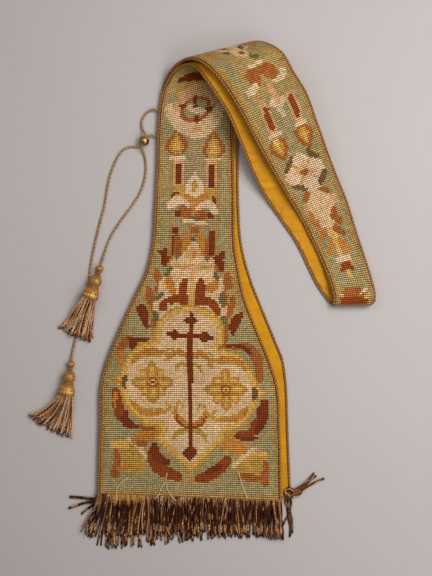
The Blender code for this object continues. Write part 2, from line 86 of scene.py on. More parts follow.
UNDER_HALF = (
    Row("neck seam", (119, -15, 8), (169, -15, 8)),
    Row("neck turn", (121, -11.5, 13), (173, -11, 13)),
    Row("neck crown", (121, -2, 15.5), (174, 1, 15.5)),
    Row("neck slope", (118, 10, 13), (171, 15, 13)),
    Row("arm low", (98, 59, 8), (151, 80, 8)),
    Row("arm lifts", (80, 95, 9.5), (139, 118, 9)),
    Row("arm quarter", (61, 125, 17), (126, 148, 13.5)),
    Row("arm half", (27, 180, 39), (99, 215, 31)),
    Row("arm high", (11, 208, 50), (87, 243, 41)),
    Row("roll begins", (-6, 235, 59.5), (72, 265, 48)),
    Row("roll crown", (-26, 261, 64), (58, 288, 51)),
    Row("roll shoulder", (-44, 278, 52), (41, 302, 41)),
    Row("roll furthest", (-62, 284.5, 33), (25, 308, 26)),
    Row("roll underturn", (-77, 278, 16), (12, 304, 11)),
    Row("roll lands", (-88.5, 258, 1.5), (6.5, 283, 1.2)),
    Row("front begins", (-91, 238, 0), (6, 264, 0)),
    Row("front turns", (-92, 203, 0), (5.5, 221, 0)),
    Row("front top", (-92, 157, 0), (6, 163, 0)),
    Row("front waist", (-93, 103, 0), (7, 103, 0)),
    Row("flare begins", (-95, 61, 0), (10, 64, 0)),
    Row("flare", (-106, 14, 0), (21, 20, 0)),
    Row("flare middle", (-122, -24, 0), (35, -16, 0)),
    Row("flare low", (-141, -65, 0), (51, -55, 0)),
    Row("spade shoulder", (-156, -100, 0), (62, -84, 0)),
    Row("spade top", (-161, -125, 0), (65, -105, 0)),
    Row("spade", (-162, -190, 0), (68, -175, 0)),
    Row("hem", (-161, -262, 0), (71, -249, 0)),
)

UPPER_HALF = (
    Row("neck seam", (119, -15, 8), (169, -15, 8)),
    Row("neck turn", (117.5, -12.5, 2.8), (167, -12, 2.8)),
    Row("neck lands", (114, -7.5, 0.3), (163, -7, 0.3)),
    Row("arm flat", (105, 5, 0), (155, 14, 0)),
    Row("arm low", (72, 69, 0), (126, 94, 0)),
    Row("arm lifts", (54.5, 94, 0), (115, 121, 0)),
    Row("arm quarter", (41, 114, 3), (104, 143, 2.5)),
    Row("arm third", (28, 135, 10), (94, 167, 8)),
    Row("arm half", (2, 192, 30), (75, 226, 24)),
    Row("arm high", (-10, 217, 39.5), (66, 249, 31)),
    Row("roll begins", (-22, 235, 46), (57, 267, 35)),
    Row("roll crown", (-35, 253, 49.5), (48, 279, 37)),
    Row("roll shoulder", (-49, 270.5, 41), (35, 294, 31.5)),
    Row("roll furthest", (-61, 275, 30), (24, 298.5, 24)),
    Row("roll underturn", (-76, 269, 18), (11, 294, 15)),
    Row("roll lands", (-88, 252, 9.2), (2, 278, 8.8)),
    Row("front begins", (-92, 236, STACK), (0, 259, STACK)),
    Row("front turns", (-95, 205, STACK), (-1, 219, STACK)),
    Row("front top", (-96, 160, STACK), (0, 164, STACK)),
    Row("front waist", (-99, 102, STACK), (1, 102, STACK)),
    Row("flare begins", (-102, 60, STACK), (1.5, 62, STACK)),
    Row("flare", (-109, 29, STACK), (6, 31, STACK)),
    Row("flare middle", (-121, 3, STACK), (12, 1, STACK)),
    Row("flare low", (-141, -40, STACK), (28, -42, STACK)),
    Row("spade shoulder", (-160, -88, STACK), (46, -87, STACK)),
    Row("spade top", (-165, -109, STACK), (53, -109, STACK)),
    Row("spade", (-167, -165, STACK), (57, -165, STACK)),
    Row("hem", (-169, -245, STACK), (59, -254, STACK)),
)

# The tie cords' routes: out of the inner edge, down to the table, through the bead and on to the
# tassels
LONG_ROUTE = (
    (-95.7, 194.8, 5.6), (-99.0, 195.3, 5.3), (-102.4, 195.8, 5.0), (-105.6, 195.4, 4.9),
    (-108.3, 193.6, 5.0), (-110.1, 190.7, 5.0), (-111.7, 187.8, 5.0), (-113.3, 184.9, 4.9),
    (-116.2, 182.6, 4.2), (-120.5, 181.9, 2.9), (-126.0, 182.2, 1.8), (-132.0, 181.2, 1.6),
    (-138.0, 177.5, 1.6), (-143.0, 171.0, 1.6), (-148.0, 161.0, 1.6), (-153.0, 147.5, 1.6),
    (-157.0, 129.0, 1.6), (-160.0, 110.0, 1.6), (-165.0, 91.0, 1.6), (-170.0, 71.0, 1.6),
    (-174.5, 51.0, 1.6), (-177.5, 33.0, 1.6), (-180.0, 14.0, 1.6), (-184.0, -6.0, 1.6),
    (-189.0, -28.0, 1.6), (-194.0, -48.0, 1.6), (-198.0, -64.0, 1.9), (-200.1, -76.0, 3.0),
    (-200.8, -81.8, 3.9),
)
SHORT_ROUTE = (
    (-93.4, 226.5, 5.6), (-97.8, 227.8, 4.8), (-102.8, 227.4, 2.8), (-107.8, 224.4, 1.8),
    (-112.0, 219.0, 1.6), (-114.2, 212.6, 1.6), (-113.8, 206.8, 2.2), (-112.0, 201.6, 4.3),
    (-109.7, 197.4, 6.7), (-109.4, 193.1, 8.2), (-110.9, 189.2, 8.4), (-112.8, 185.6, 8.2),
    (-113.4, 181.6, 6.9), (-112.4, 177.0, 4.3), (-110.6, 171.5, 2.2), (-109.4, 164.5, 1.6),
    (-109.0, 152.5, 1.6), (-111.5, 138.0, 1.6), (-117.0, 124.0, 1.6), (-125.0, 111.0, 1.6),
    (-134.0, 99.0, 1.6), (-143.0, 86.5, 1.6), (-150.5, 74.5, 1.6), (-156.5, 62.0, 1.6),
    (-160.5, 50.0, 1.9), (-163.0, 41.0, 3.2), (-164.3, 36.0, 4.0),
)

# The slider bead: where it lies, its heading, and its barrel and rolled rims
BEAD_CENTRE = Vector((-111.1, 188.8, 6.7))
BEAD_HEADING = math.radians(-120)
BEAD_BORE_RADIUS = 3.9
BEAD_RADIUS = 6.6
BEAD_LENGTH = 8.4
BEAD_RIM_RADIUS = 0.85
BEAD_RIM_LENGTH = 0.9
BEAD_SIDES = 40
BEAD_BELLY_STEPS = 8

# The head of a tassel: how far down it each ring is, and the ring's radius.
Ring = namedtuple("Ring", "along radius")
TASSEL_HEAD = (
    Ring(0.0, 1.2), Ring(0.5, 3.0), Ring(1.8, 4.3), Ring(3.6, 4.9), Ring(5.4, 4.7), Ring(7.4, 3.6),
    Ring(8.6, 2.7), Ring(9.6, 2.5), Ring(10.8, 2.6), Ring(12.0, 3.2), Ring(13.4, 4.9),
    Ring(15.5, 6.7), Ring(18.0, 7.8), Ring(20.5, 8.0), Ring(23.0, 7.8), Ring(25.4, 6.9),
    Ring(27.0, 6.1), Ring(28.2, 6.1), Ring(29.6, 7.0), Ring(32.0, 8.4), Ring(35.0, 9.6),
    Ring(38.5, 10.3), Ring(42.0, 10.5),
)
TASSEL_HEAD_LENGTH = 42.0
TASSEL_HEAD_CLOSE = Ring(42.4, 9.6)
TASSEL_SIDES = 72
TASSEL_RIBS = 18

# How flat a tassel is where its skirt begins, and how far it stays off the table
TASSEL_SQUASH = 0.72
TASSEL_GAP = 0.3

# The twisted collars round a tassel's waists
Collar = namedtuple("Collar", "along radius thick")
COLLARS = (Collar(9.4, 2.9, 1.5), Collar(27.6, 6.3, 1.5), Collar(29.0, 6.8, 1.3))

# The skirt's layers from the top down: how many strands, how high in the skirt's mouth they start,
# and how far above the lowest layer they lie.
Layer = namedtuple("Layer", "count spread rise")
SKIRT_LAYERS = (Layer(22, 0.55, 2.7), Layer(20, 0.0, 1.2), Layer(26, -0.6, 0.0))
SKIRT_MOUTH_RADIUS = 10.4

# The head's ribs, and where its waists are darkened with painted shade, and by how much
RIB_HEIGHT = 0.035
WAISTS = ((8, 12.5), (26.4, 29))
WAIST_PAINTED_SHADE = 0.65

# The points round a collar, and the twist of the collars' and the skirt's strands
COLLAR_STEPS = 44
COLLAR_PITCH = 3.2
SKIRT_STEP = 1.0
SKIRT_PITCH = 9.5

# The shares of the skirt's strands that are bright, and of a strand at each end that blend in
BRIGHT_STRANDS = 0.45
STRAND_END = 0.1

# How near a skirt comes to a cord's points before it lifts, and over what distance it rises fully
CORD_CHECK_STEP = 3.0
CORD_CLEAR = 11.0
CORD_FADE = 5.0

# Where a tassel lies: the top of its knot, its heading, how far its skirt fans to the left and
# right of that heading, its strands' length at both sides, and its seed
Lie = namedtuple("Lie", "top heading fan_left fan_right left_length right_length seed")
TASSEL_SHORT = Lie((-164.7, 35.2), -108, 21, 11, 52, 55, 5)
TASSEL_LONG = Lie((-201.0, -82.6), -98, 47, 4, 49, 55, 9)

# Fringe strands that lie well away from the rest, as routes from the hems' corners
UPPER_STRAYS = (
    ((-166, -247, 5), (-172, -253, 4), (-184, -253, 2), (-204, -252, 1.2)),
    ((-165, -248, 5), (-171, -256, 4), (-184, -259, 2), (-205, -266, 1.2)),
    ((-162, -248, 5), (-167, -258, 4), (-178, -264, 2), (-189, -273, 1.2)),
    ((-159, -248, 5), (-165, -262, 4), (-176, -274, 2.4), (-187, -290, 1.2)),
    ((-155, -248, 5), (-161, -264, 4), (-170, -281, 2.6), (-181, -301, 1.2)),
)
CORNER_TUFT = (
    ((66, -246, 4.2), (74, -243, 4.0), (86, -236, 2.6), (94, -228, 1.6), (99, -222.5, 1.2)),
    ((66, -247, 3.2), (75, -244, 3.2), (88, -238, 2.0), (96, -230, 1.4), (101.5, -226, 1.2)),
    ((67, -248, 3.2), (77, -246, 3.0), (90, -240, 1.8), (102, -233, 1.3), (111.5, -229.5, 1.2)),
    ((66, -247, 3.6), (73, -250, 3.4), (82, -248, 2.2), (84, -243.5, 2.4), (76, -243, 3.8),
     (69, -246, 4.8)),
    ((62, -244, 3.4), (67, -240.5, 4.4), (73, -244, 5.0), (71, -251, 4.6), (64, -252, 3.6),
     (61, -247, 3.2)),
    ((64, -250, 3.4), (62, -244.5, 4.6), (68, -242, 5.6), (73.5, -247, 5.2), (69, -252, 3.8)),
    ((62, -242.5, 3.4), (65, -245.5, 4.4), (68, -248.6, 4.4), (72, -252.5, 3.4)),
    ((66, -249, 3.2), (63.5, -256, 2.4), (68, -268, 1.6), (71, -279, 1.2), (72, -297, 1.2)),
    ((69, -250, 3.2), (70.5, -258, 2.0), (69, -270, 1.4), (64, -280, 1.2), (60.5, -287, 1.2)),
    ((68, -249, 3.0), (66, -262, 1.8), (67, -276, 1.4), (69.5, -290, 1.2), (69, -301.5, 1.2)),
)

# The chart.  Its shapes are painted in order, each over the ones before it, with places and sizes
# counted in stitches from the cloth's middle line and up from the hem.  A motif has its middle, its
# width and height, its turn in degrees, how far its middle bows out, and how much higher its
# mirrored twin stands, if it has one.  A stroke runs through three places with a width at each.
Motif = namedtuple("Motif", "shape dye x y wide high turn bow twin", defaults=(0, 0, None))
Stroke = namedtuple("Stroke", "dye start middle end widths")

OLIVE_PATCHES = (
    Motif("block", "olive_ground", 0, 220, 52, 44),
    Motif("oval", "olive_ground", 4, 252, 26, 34),
    Motif("oval", "olive_ground", -14, 300, 7, 110),
    Motif("oval", "olive_ground", -21, 112, 6, 60),
    Motif("oval", "olive_ground", 21, 112, 7, 60),
    Motif("oval", "olive_ground", 0, 8, 30, 5),
)
SPADE_CORNERS = (
    Motif("block", "ochre", -28, 17.5, 13, 13),
    Motif("block", "straw", -34, 24.6, 8, 4.2),
    Motif("block", "ochre", -24.6, 15, 6, 8),
    Stroke("rust", (-35.8, 21.5), (-35.2, 15.5), (-36, 9.6), (2.4, 3.4, 4.8)),
    Stroke("amber", (-34, 12.2), (-29, 13.2), (-24, 12.2), (2.6, 1.8, 1.2)),
    Stroke("cream", (-29.5, 27.6), (-25, 24), (-21.4, 18.6), (2.8, 2.6, 1.8)),
    Motif("block", "ochre", 30, 15.5, 14, 9.8),
    Motif("block", "straw", 33.6, 20.8, 8, 1.8),
    Motif("block", "ochre", 24.4, 14, 3.4, 6),
    Stroke("rust", (36.8, 16.6), (36.8, 12), (36.8, 7.4), (2.4, 3.6, 4.2)),
    Stroke("rust", (24.6, 9.8), (30, 9.4), (36, 8.8), (2.6, 3.4, 3.2)),
    Stroke("cream", (31.4, 23), (27, 19.4), (21.8, 15), (1.8, 2.2, 2.8)),
    Stroke("amber", (-26, 26.8), (-21, 29), (-16.4, 32), (5, 6.8, 6)),
    Stroke("ochre", (-26, 33.4), (-19, 34), (-13, 33), (2, 3.6, 5)),
    Motif("block", "rust", -22.6, 25.4, 5, 3),
    Motif("block", "amber", 20, 26, 8.4, 8.6),
    Motif("block", "amber", 23.4, 22.8, 9, 4.6),
    Motif("block", "ochre", 18.4, 22.4, 4, 3),
    Stroke("russet", (-17, 22), (-15.4, 14), (-5.6, 9), (5.4, 6.6, 4.4)),
    Stroke("oxblood", (-17.2, 24.6), (-16.4, 19.4), (-10.6, 16), (2.6, 4.4, 2.8)),
    Stroke("russet", (4.6, 8.2), (12, 11.4), (18.4, 17.2), (4.4, 5.4, 4.6)),
    Stroke("oxblood", (8, 11.8), (11, 12.6), (14, 14.4), (2, 3.2, 2.6)),
    Stroke("russet", (-35.6, 50.6), (-34.6, 44), (-33.4, 38.4), (3.4, 5.2, 4.4)),
    Stroke("amber", (-35.8, 50), (-36, 47), (-36.4, 43), (1.8, 2, 1)),
    Stroke("rust", (-25, 33.6), (-22, 33), (-18, 32.6), (2.2, 2.6, 3)),
    Stroke("oxblood", (-30.4, 40.6), (-30.6, 35.6), (-25.4, 33.8), (2.4, 4.4, 1.8)),
    Stroke("russet", (24, 29.8), (29.4, 30.2), (32.4, 34.8), (2.6, 4, 5)),
    Stroke("oxblood", (36.6, 45), (35.8, 37.8), (33.2, 31.6), (3.8, 5, 3.4)),
    Stroke("oxblood", (37, 43.6), (35.4, 42.4), (33.6, 38.6), (3.4, 4, 3)),
    Stroke("oxblood", (22.6, 29), (27, 27.4), (32.8, 28.2), (2.2, 1.8, 1.4)),
    Stroke("rust", (-26.6, 74.6), (-31.8, 73), (-32.4, 64), (4.4, 4.8, 3.6)),
    Stroke("amber", (-31.6, 69.4), (-32.6, 66.6), (-32, 63.6), (3.2, 3.4, 2.8)),
    Stroke("oxblood", (-15.4, 74.9), (-22, 75.5), (-29, 76), (1.4, 1.6, 1.8)),
    Stroke("oxblood", (-26.8, 75), (-26.6, 73), (-26.2, 71), (4, 4, 2)),
    Stroke("rust", (23, 72), (31.8, 69.4), (34.6, 56.6), (3, 5, 3.6)),
    Stroke("oxblood", (19, 72.4), (25.4, 72.6), (30, 69), (1.6, 2.2, 2.6)),
)
SPADE_SIDES = (
    Stroke("amber", (-17, 84), (-16.2, 80), (-15, 76.4), (2.6, 3, 2)),
    Stroke("rust", (17.6, 82), (17.8, 77), (17, 72.2), (3, 3.2, 2.4)),
    Stroke("rust", (-15.8, 102), (-17.8, 92), (-16.8, 82), (2, 2.4, 2.4)),
    Stroke("amber", (-17, 98), (-18.8, 92), (-18, 86), (1, 1.2, 1)),
    Stroke("rust", (16, 101), (17.6, 93), (18.6, 82), (2, 2.6, 2.8)),
    Stroke("rust", (-20.6, 100.4), (-19.8, 97), (-18.8, 92), (2.4, 3.6, 2)),
    Stroke("rust", (20.8, 96), (20.6, 93), (19.6, 88), (2.2, 3.4, 2.2)),
    Stroke("oxblood", (-23, 90.6), (-21.8, 87), (-20, 82), (4.6, 4.6, 2)),
    Stroke("oxblood", (26, 88.4), (22.8, 84.6), (21.6, 79.2), (2, 4.6, 2.6)),
    Stroke("rust", (-17.6, 109.8), (-16.2, 106), (-14.8, 102.6), (2, 3.8, 2.6)),
    Stroke("rust", (17.4, 107.4), (17.4, 104), (19.2, 101.6), (2.2, 4.4, 2.6)),
    Stroke("amber", (-9.6, 118), (-10.6, 115.4), (-12.4, 112.4), (1.6, 1.6, 1.4)),
    Stroke("rust", (9.8, 114), (10.8, 111.6), (12.4, 108.6), (1.8, 1.8, 1.6)),
    Stroke("oxblood", (-16.6, 119), (-12.6, 118.2), (-8.6, 120), (1.8, 4, 2.6)),
    Stroke("oxblood", (-12.6, 118), (-13.4, 115), (-13.8, 112.4), (5, 4.2, 1.8)),
    Stroke("oxblood", (14.6, 117), (12.4, 114.8), (9.8, 114.6), (2.4, 4.4, 1.8)),
    Stroke("oxblood", (12.4, 114), (13.6, 112), (14.6, 109.4), (4.4, 3.4, 2)),
)
SPADE_CAP = (
    Motif("diamond", "cream", 0, 114, 20, 20),
    Motif("oval", "cream", 0, 117.5, 12, 12),
    Motif("block", "cream", 0, 109.5, 20.6, 10),
    Motif("block", "cream", 0, 97, 26, 15),
    Motif("oval", "cream", -11.6, 101.6, 8, 11),
    Motif("oval", "cream", 12.4, 101, 7.6, 11),
    Motif("oval", "cream", -12, 90.6, 11, 12),
    Motif("oval", "cream", 13, 89.6, 11, 12),
    Motif("oval", "tan", 0, 117.4, 7.6, 5.4),
    Motif("oval", "amber", 0.6, 117, 2.6, 3),
    Stroke("straw", (-0.6, 122), (-0.8, 117), (-0.6, 113), (0.9, 0.9, 0.9)),
    Stroke("tan", (-9, 112), (-0.5, 110.8), (8.8, 111), (2.4, 2.8, 2.4)),
    Stroke("ochre", (-7, 111.6), (-5.6, 111), (-4.4, 111), (1.6, 1.8, 1)),
    Stroke("ochre", (4.4, 110.8), (5.8, 110.8), (7, 111), (1, 1.8, 1.6)),
    Stroke("tan", (0.6, 110), (0.8, 100), (0.8, 90), (1.8, 2.4, 2.6)),
    Stroke("straw", (0.6, 109), (0.8, 100), (0.8, 90), (0.9, 1, 1)),
    Stroke("amber", (-11.4, 106), (-10, 102), (-8, 98.6), (2.2, 4.6, 2.4)),
    Stroke("straw", (-12.6, 104), (-12.2, 101.6), (-10.6, 99.6), (1, 1, 1)),
    Stroke("amber", (12, 103.6), (10.6, 101.4), (8.6, 100.6), (2.8, 4.6, 3)),
    Stroke("russet", (-3.2, 104.4), (-3.4, 99.4), (-2.6, 94), (2.8, 4.4, 3.8)),
    Stroke("russet", (-2, 95), (-8, 95), (-12.6, 91.4), (3.6, 4, 4.4)),
    Stroke("russet", (4.6, 103.6), (5.2, 99.4), (4.4, 94), (3.2, 4.8, 4.4)),
    Stroke("russet", (4, 94.2), (10, 94), (13.8, 89.4), (4, 4.4, 3.8)),
    Stroke("cream", (-10.4, 93), (-10.2, 91.6), (-10.4, 90), (0.9, 0.9, 0.9)),
    Stroke("slate", (-6.6, 119), (-7.4, 117.4), (-8.2, 115.6), (2.4, 2.8, 1.4)),
    Stroke("slate", (-10.6, 110.6), (-11.4, 109), (-13, 107), (1.8, 2.4, 1.4)),
    Stroke("slate", (-13.8, 97.4), (-14.8, 96.4), (-16.4, 95), (2, 2.4, 1.4)),
    Stroke("slate", (-16.6, 89), (-16, 86.6), (-15.6, 83.6), (1.6, 2.8, 2)),
    Stroke("slate", (6, 117.4), (6.4, 115.8), (7, 114.4), (1.4, 2.4, 1.4)),
    Stroke("slate", (10.8, 108), (11.6, 106.4), (13.2, 105), (1.6, 2.2, 1.4)),
    Stroke("slate", (15.4, 97), (15.8, 95), (16.6, 92.4), (2.2, 2.6, 1.6)),
    Stroke("slate", (16.4, 86.6), (17.2, 84.6), (17.8, 81.6), (1.8, 3, 2)),
)

# The four-lobed frame: its lobes, and the bands of dye from its rim inwards.
FRAME_LOBES = (
    Motif("oval", "", 0.8, 78.6, 34.4, 28),
    Motif("oval", "", -15, 54.6, 37.4, 42),
    Motif("oval", "", 15, 50.6, 37.4, 42),
    Motif("diamond", "", 0.4, 28, 36, 36),
    Motif("block", "", 0.6, 34, 30, 14),
    Motif("block", "", 0, 52, 44, 36),
    Motif("diamond", "", -33, 55.6, 10, 8),
    Motif("diamond", "", 33, 50, 9, 9),
)
Band = namedtuple("Band", "inwards dye")
FRAME_BANDS = (Band(0.0, "ochre"), Band(1.0, "straw"), Band(3.2, "tan"), Band(4.0, "cream"))

FRAME_MOTIFS = (
    Stroke("amber", (-37, 56.4), (-34.6, 55.4), (-32.4, 54.4), (0.9, 2, 1)),
    Stroke("olive", (-30.4, 58), (-31.4, 55.2), (-30.8, 52.4), (1.2, 2.8, 1.6)),
    Stroke("olive", (31.2, 51.8), (32.2, 49.4), (31.2, 46.4), (1.2, 2.8, 1.6)),
    Stroke("cream", (-28.6, 66), (-29.4, 60), (-28.8, 50), (0.9, 0.9, 0.9)),
    # Leaves above and below the rosettes
    Stroke("amber", (-27.4, 64.4), (-21.4, 69.4), (-11.6, 69.4), (1.4, 3, 1.6)),
    Stroke("ochre", (-25.4, 64.8), (-20.6, 68), (-13, 68), (0.9, 1.2, 0.9)),
    Stroke("ochre", (-11.6, 69.4), (-8.8, 67.4), (-11, 65.6), (1.8, 1.8, 1.4)),
    Stroke("amber", (-28, 45.6), (-22, 40.6), (-12.4, 40.4), (1.4, 3, 1.6)),
    Stroke("ochre", (-26.4, 45.6), (-21.2, 42), (-13.4, 41.8), (0.9, 1.2, 0.9)),
    Stroke("ochre", (-12.4, 40.4), (-9.4, 42.6), (-11.4, 44.6), (1.8, 1.8, 1.4)),
    Stroke("amber", (28, 61), (22.8, 65.4), (13.6, 65.6), (1.4, 3, 1.6)),
    Stroke("ochre", (26.6, 61.2), (22, 64), (15, 64.2), (0.9, 1.2, 0.9)),
    Stroke("ochre", (13.6, 65.8), (10.8, 63.6), (13, 61.8), (1.8, 1.8, 1.4)),
    Stroke("amber", (28, 42.4), (22.8, 37.4), (13.6, 36.8), (1.4, 3, 1.6)),
    Stroke("ochre", (26.6, 42.2), (22, 38.8), (14.8, 38.2), (0.9, 1.2, 0.9)),
    Stroke("ochre", (13.6, 36.6), (10.6, 38.8), (12.6, 40.8), (1.8, 1.8, 1.4)),
    # Scroll leaves round the cross
    Stroke("amber", (1, 66), (-4.4, 69.6), (-9.6, 66.6), (2, 3.2, 1.4)),
    Stroke("ochre", (-9.8, 67), (-10.4, 70), (-7.4, 70.8), (1.4, 1.4, 1.2)),
    Stroke("amber", (1, 66), (6.4, 68.6), (10.4, 64.4), (2, 3.2, 1.4)),
    Stroke("ochre", (10.4, 64.8), (12, 67.4), (9.4, 69.4), (1.4, 1.4, 1.2)),
    Stroke("ochre", (0.6, 62), (-3.6, 64), (-6, 61), (1.4, 2, 1)),
    Stroke("ochre", (0.6, 62), (4.6, 63), (6.6, 59.6), (1.4, 2, 1)),
    Stroke("amber", (0.4, 34), (-5.6, 37.4), (-6.4, 43), (2.2, 3.4, 1.4)),
    Stroke("ochre", (-6.6, 43), (-4.6, 45.4), (-2.8, 43), (1.4, 1.4, 1.2)),
    Stroke("amber", (0.4, 34), (6.4, 36.4), (8, 41.6), (2.2, 3.4, 1.4)),
    Stroke("ochre", (8, 41.8), (6.4, 44.2), (4.2, 42), (1.4, 1.4, 1.2)),
    Stroke("ochre", (0.2, 31), (-5, 30.8), (-8, 27), (1.6, 2.8, 1.2)),
    Stroke("ochre", (0.2, 31), (5.4, 30.4), (8.4, 26.4), (1.6, 2.8, 1.2)),
    Stroke("russet", (-1, 33), (-4.8, 35), (-6.2, 38.6), (1, 1.2, 1)),
    Stroke("russet", (1.6, 33), (5.6, 34.4), (7.6, 38), (1, 1.2, 1)),
    # The cross
    Stroke("oxblood", (1.3, 88), (0.9, 60), (0.2, 18), (2.4, 2.4, 2.4)),
    Motif("oval", "oxblood", 1, 85, 6.4, 3.6),
    Stroke("oxblood", (-9.6, 78.2), (1, 77.6), (11.6, 76.8), (1.9, 1.9, 1.9)),
    Motif("oval", "oxblood", -6.6, 78, 5, 4.2),
    Motif("oval", "oxblood", 8, 77, 4.6, 4.8),
    Motif("oval", "oxblood", 0.2, 20.8, 6.8, 5.2),
)

BAND_MOTIFS = (
    Motif("block", "moss", -0.6, 152, 20, 48),
    Motif("block", "border", 11.4, 140, 1.4, 46, 0, 0, 0),
    Motif("block", "border", 6, 140, 1.4, 14, 0, 0, 0),
    Motif("oval", "border", -0.2, 129, 16, 7),
    Motif("oval", "moss", -4.7, 128.6, 4.8, 5.6),
    Motif("oval", "moss", 4.8, 128.4, 3.6, 5.2),
    Motif("block", "rust", 0.6, 129, 3.6, 3.4),
    Stroke("amber", (-3, 126.6), (-3.6, 124), (-5.6, 119), (3, 4.4, 3.6)),
    Stroke("amber", (3.8, 126), (4, 123.4), (5.4, 118), (3, 4.4, 3.6)),
    Stroke("rust", (-8.6, 127), (-7.4, 123), (-7.4, 117.6), (2.4, 3.6, 3.4)),
    Stroke("rust", (7.6, 125.6), (7, 121.4), (7.4, 116), (2, 3.6, 3.2)),
    Motif("block", "oxblood", -9.4, 129, 3, 2.2),
    Motif("block", "oxblood", -10.2, 122.6, 1.6, 7),
    Motif("block", "oxblood", 8.8, 127, 2.8, 2.4),
    Motif("block", "oxblood", 9, 120.8, 2, 9),
    Motif("oval", "slate", -0.2, 124.2, 3, 2.4),
    Motif("block", "ochre", 0, 146, 19, 8),
    Motif("block", "amber", 0, 144.6, 12, 3.4),
    Motif("oval", "rust", -4, 137.4, 6.6, 5.6),
    Motif("oval", "rust", 3.2, 136.4, 6, 5.4),
    Motif("block", "amber", -0.4, 139.4, 3, 5),
    Motif("block", "oxblood", 8.2, 135.6, 3.2, 3, 0, 0, 1.8),
    Stroke("white", (-5, 133.9), (0, 133), (5.8, 132.2), (1.8, 1.8, 1.6)),
    Stroke("slate", (-2, 135), (-0.4, 134.8), (1.4, 134.2), (1, 1.2, 1)),
    Stroke("white", (-12, 140.4), (-7.6, 143.4), (-3, 140.2), (3.4, 4.2, 2)),
    Stroke("rust", (-7.4, 139.4), (-5.6, 140.4), (-4, 139.4), (1.4, 1.8, 1.2)),
    Stroke("white", (10, 137.8), (6.6, 141.4), (1.4, 139.2), (3.2, 4, 1.8)),
    Stroke("oxblood", (-10.6, 145.4), (-9.8, 146.8), (-8.2, 147.2), (1.4, 2, 1)),
    Stroke("oxblood", (9, 144.6), (9.4, 143.6), (9.8, 142.4), (1.4, 1.8, 1)),
    Motif("drop", "white", 0, 151.2, 10, 12),
    Stroke("white", (-2.4, 148.4), (-1, 146.6), (0.8, 145), (2.4, 2, 1.2)),
    Motif("oval", "ochre", -0.4, 150.4, 3.2, 5.6),
    Motif("block", "tan", 8, 156, 5.6, 13.4, 0, 0, 1.6),
    Motif("block", "oxblood", 8.1, 155, 2.9, 10.4, 0, 0, 1.6),
    Motif("block", "white", 8.4, 163, 7.4, 1.7, 0, 0, 1.8),
    Motif("drop", "rust", 9, 169.8, 11, 13.6, 0, 0, 2.8),
    Motif("drop", "ochre", 9, 169.2, 6.6, 10.6, 0, 0, 2.8),
    Motif("drop", "straw", 9, 168.4, 3, 6.4, 0, 0, 2.8),
    Motif("block", "ochre", 8.8, 164.8, 4, 2, 0, 0, 2.4),
    Stroke("cream", (-13.4, 191.6), (-8, 183), (0, 175), (4, 7, 3.6)),
    Stroke("cream", (0, 175), (7, 179), (12.6, 187), (3.6, 7, 4)),
    Motif("block", "cream", 0, 184, 14, 12),
    Motif("diamond", "cream", 0, 176, 8, 7),
    Motif("oval", "tan", 0, 191, 22, 10),
    Motif("oval", "ochre", 0, 199.4, 24, 6),
    Motif("oval", "tan", 0, 196.6, 20, 7),
    Motif("oval", "tan", 1, 178, 5, 4),
    Motif("oval", "rust", 0, 187.6, 15.4, 12.6),
    Motif("oval", "moss", 0, 187.8, 11.4, 9.4),
    Stroke("white", (-3.4, 189.4), (0, 187.6), (4, 186), (2.4, 3, 2.4)),
    Stroke("oxblood", (-0.4, 193.6), (-0.2, 192), (0, 190.4), (1.8, 2, 1.6)),
    Motif("oval", "oxblood", 0.2, 189, 3, 1.8),
    Stroke("oxblood", (-8, 191.2), (-6.6, 190.6), (-5, 190), (1.6, 1.8, 1)),
    Stroke("oxblood", (8, 186.4), (6.6, 186.6), (5.2, 187), (1.6, 1.8, 1)),
    Stroke("oxblood", (0.8, 183.6), (1, 182), (1.2, 180.8), (1.8, 2, 1.2)),
    Stroke("oxblood", (-10.4, 205), (-5, 205), (3, 202.6), (3, 4.4, 3.6)),
    Motif("oval", "white", 4, 230, 7, 14, -14),
    Motif("oval", "white", -2, 229, 6, 11, 14),
    Motif("oval", "cream", 1, 238, 7, 9),
    Motif("oval", "amber", -10.4, 233.6, 5, 6, -20),
    Motif("oval", "russet", 1.4, 239, 2.6, 2.8),
    Motif("oval", "slate", -1.6, 244.4, 3, 4.4, -10),
    Motif("oval", "slate", 4.4, 243.6, 4, 3.4, 20),
    Motif("oval", "olive", -3.6, 235.8, 3.2, 3, 30),
    Stroke("olive", (4, 236), (5, 233.6), (6.4, 231), (1.4, 2.4, 1.4)),
    Stroke("rust", (-1, 231), (-2, 224), (-4, 214), (3, 5, 4)),
    Stroke("amber", (11, 234), (12, 226), (12, 214), (2, 5, 3)),
    Stroke("cream", (5, 224), (5, 216), (4, 210), (5, 6, 4)),
)

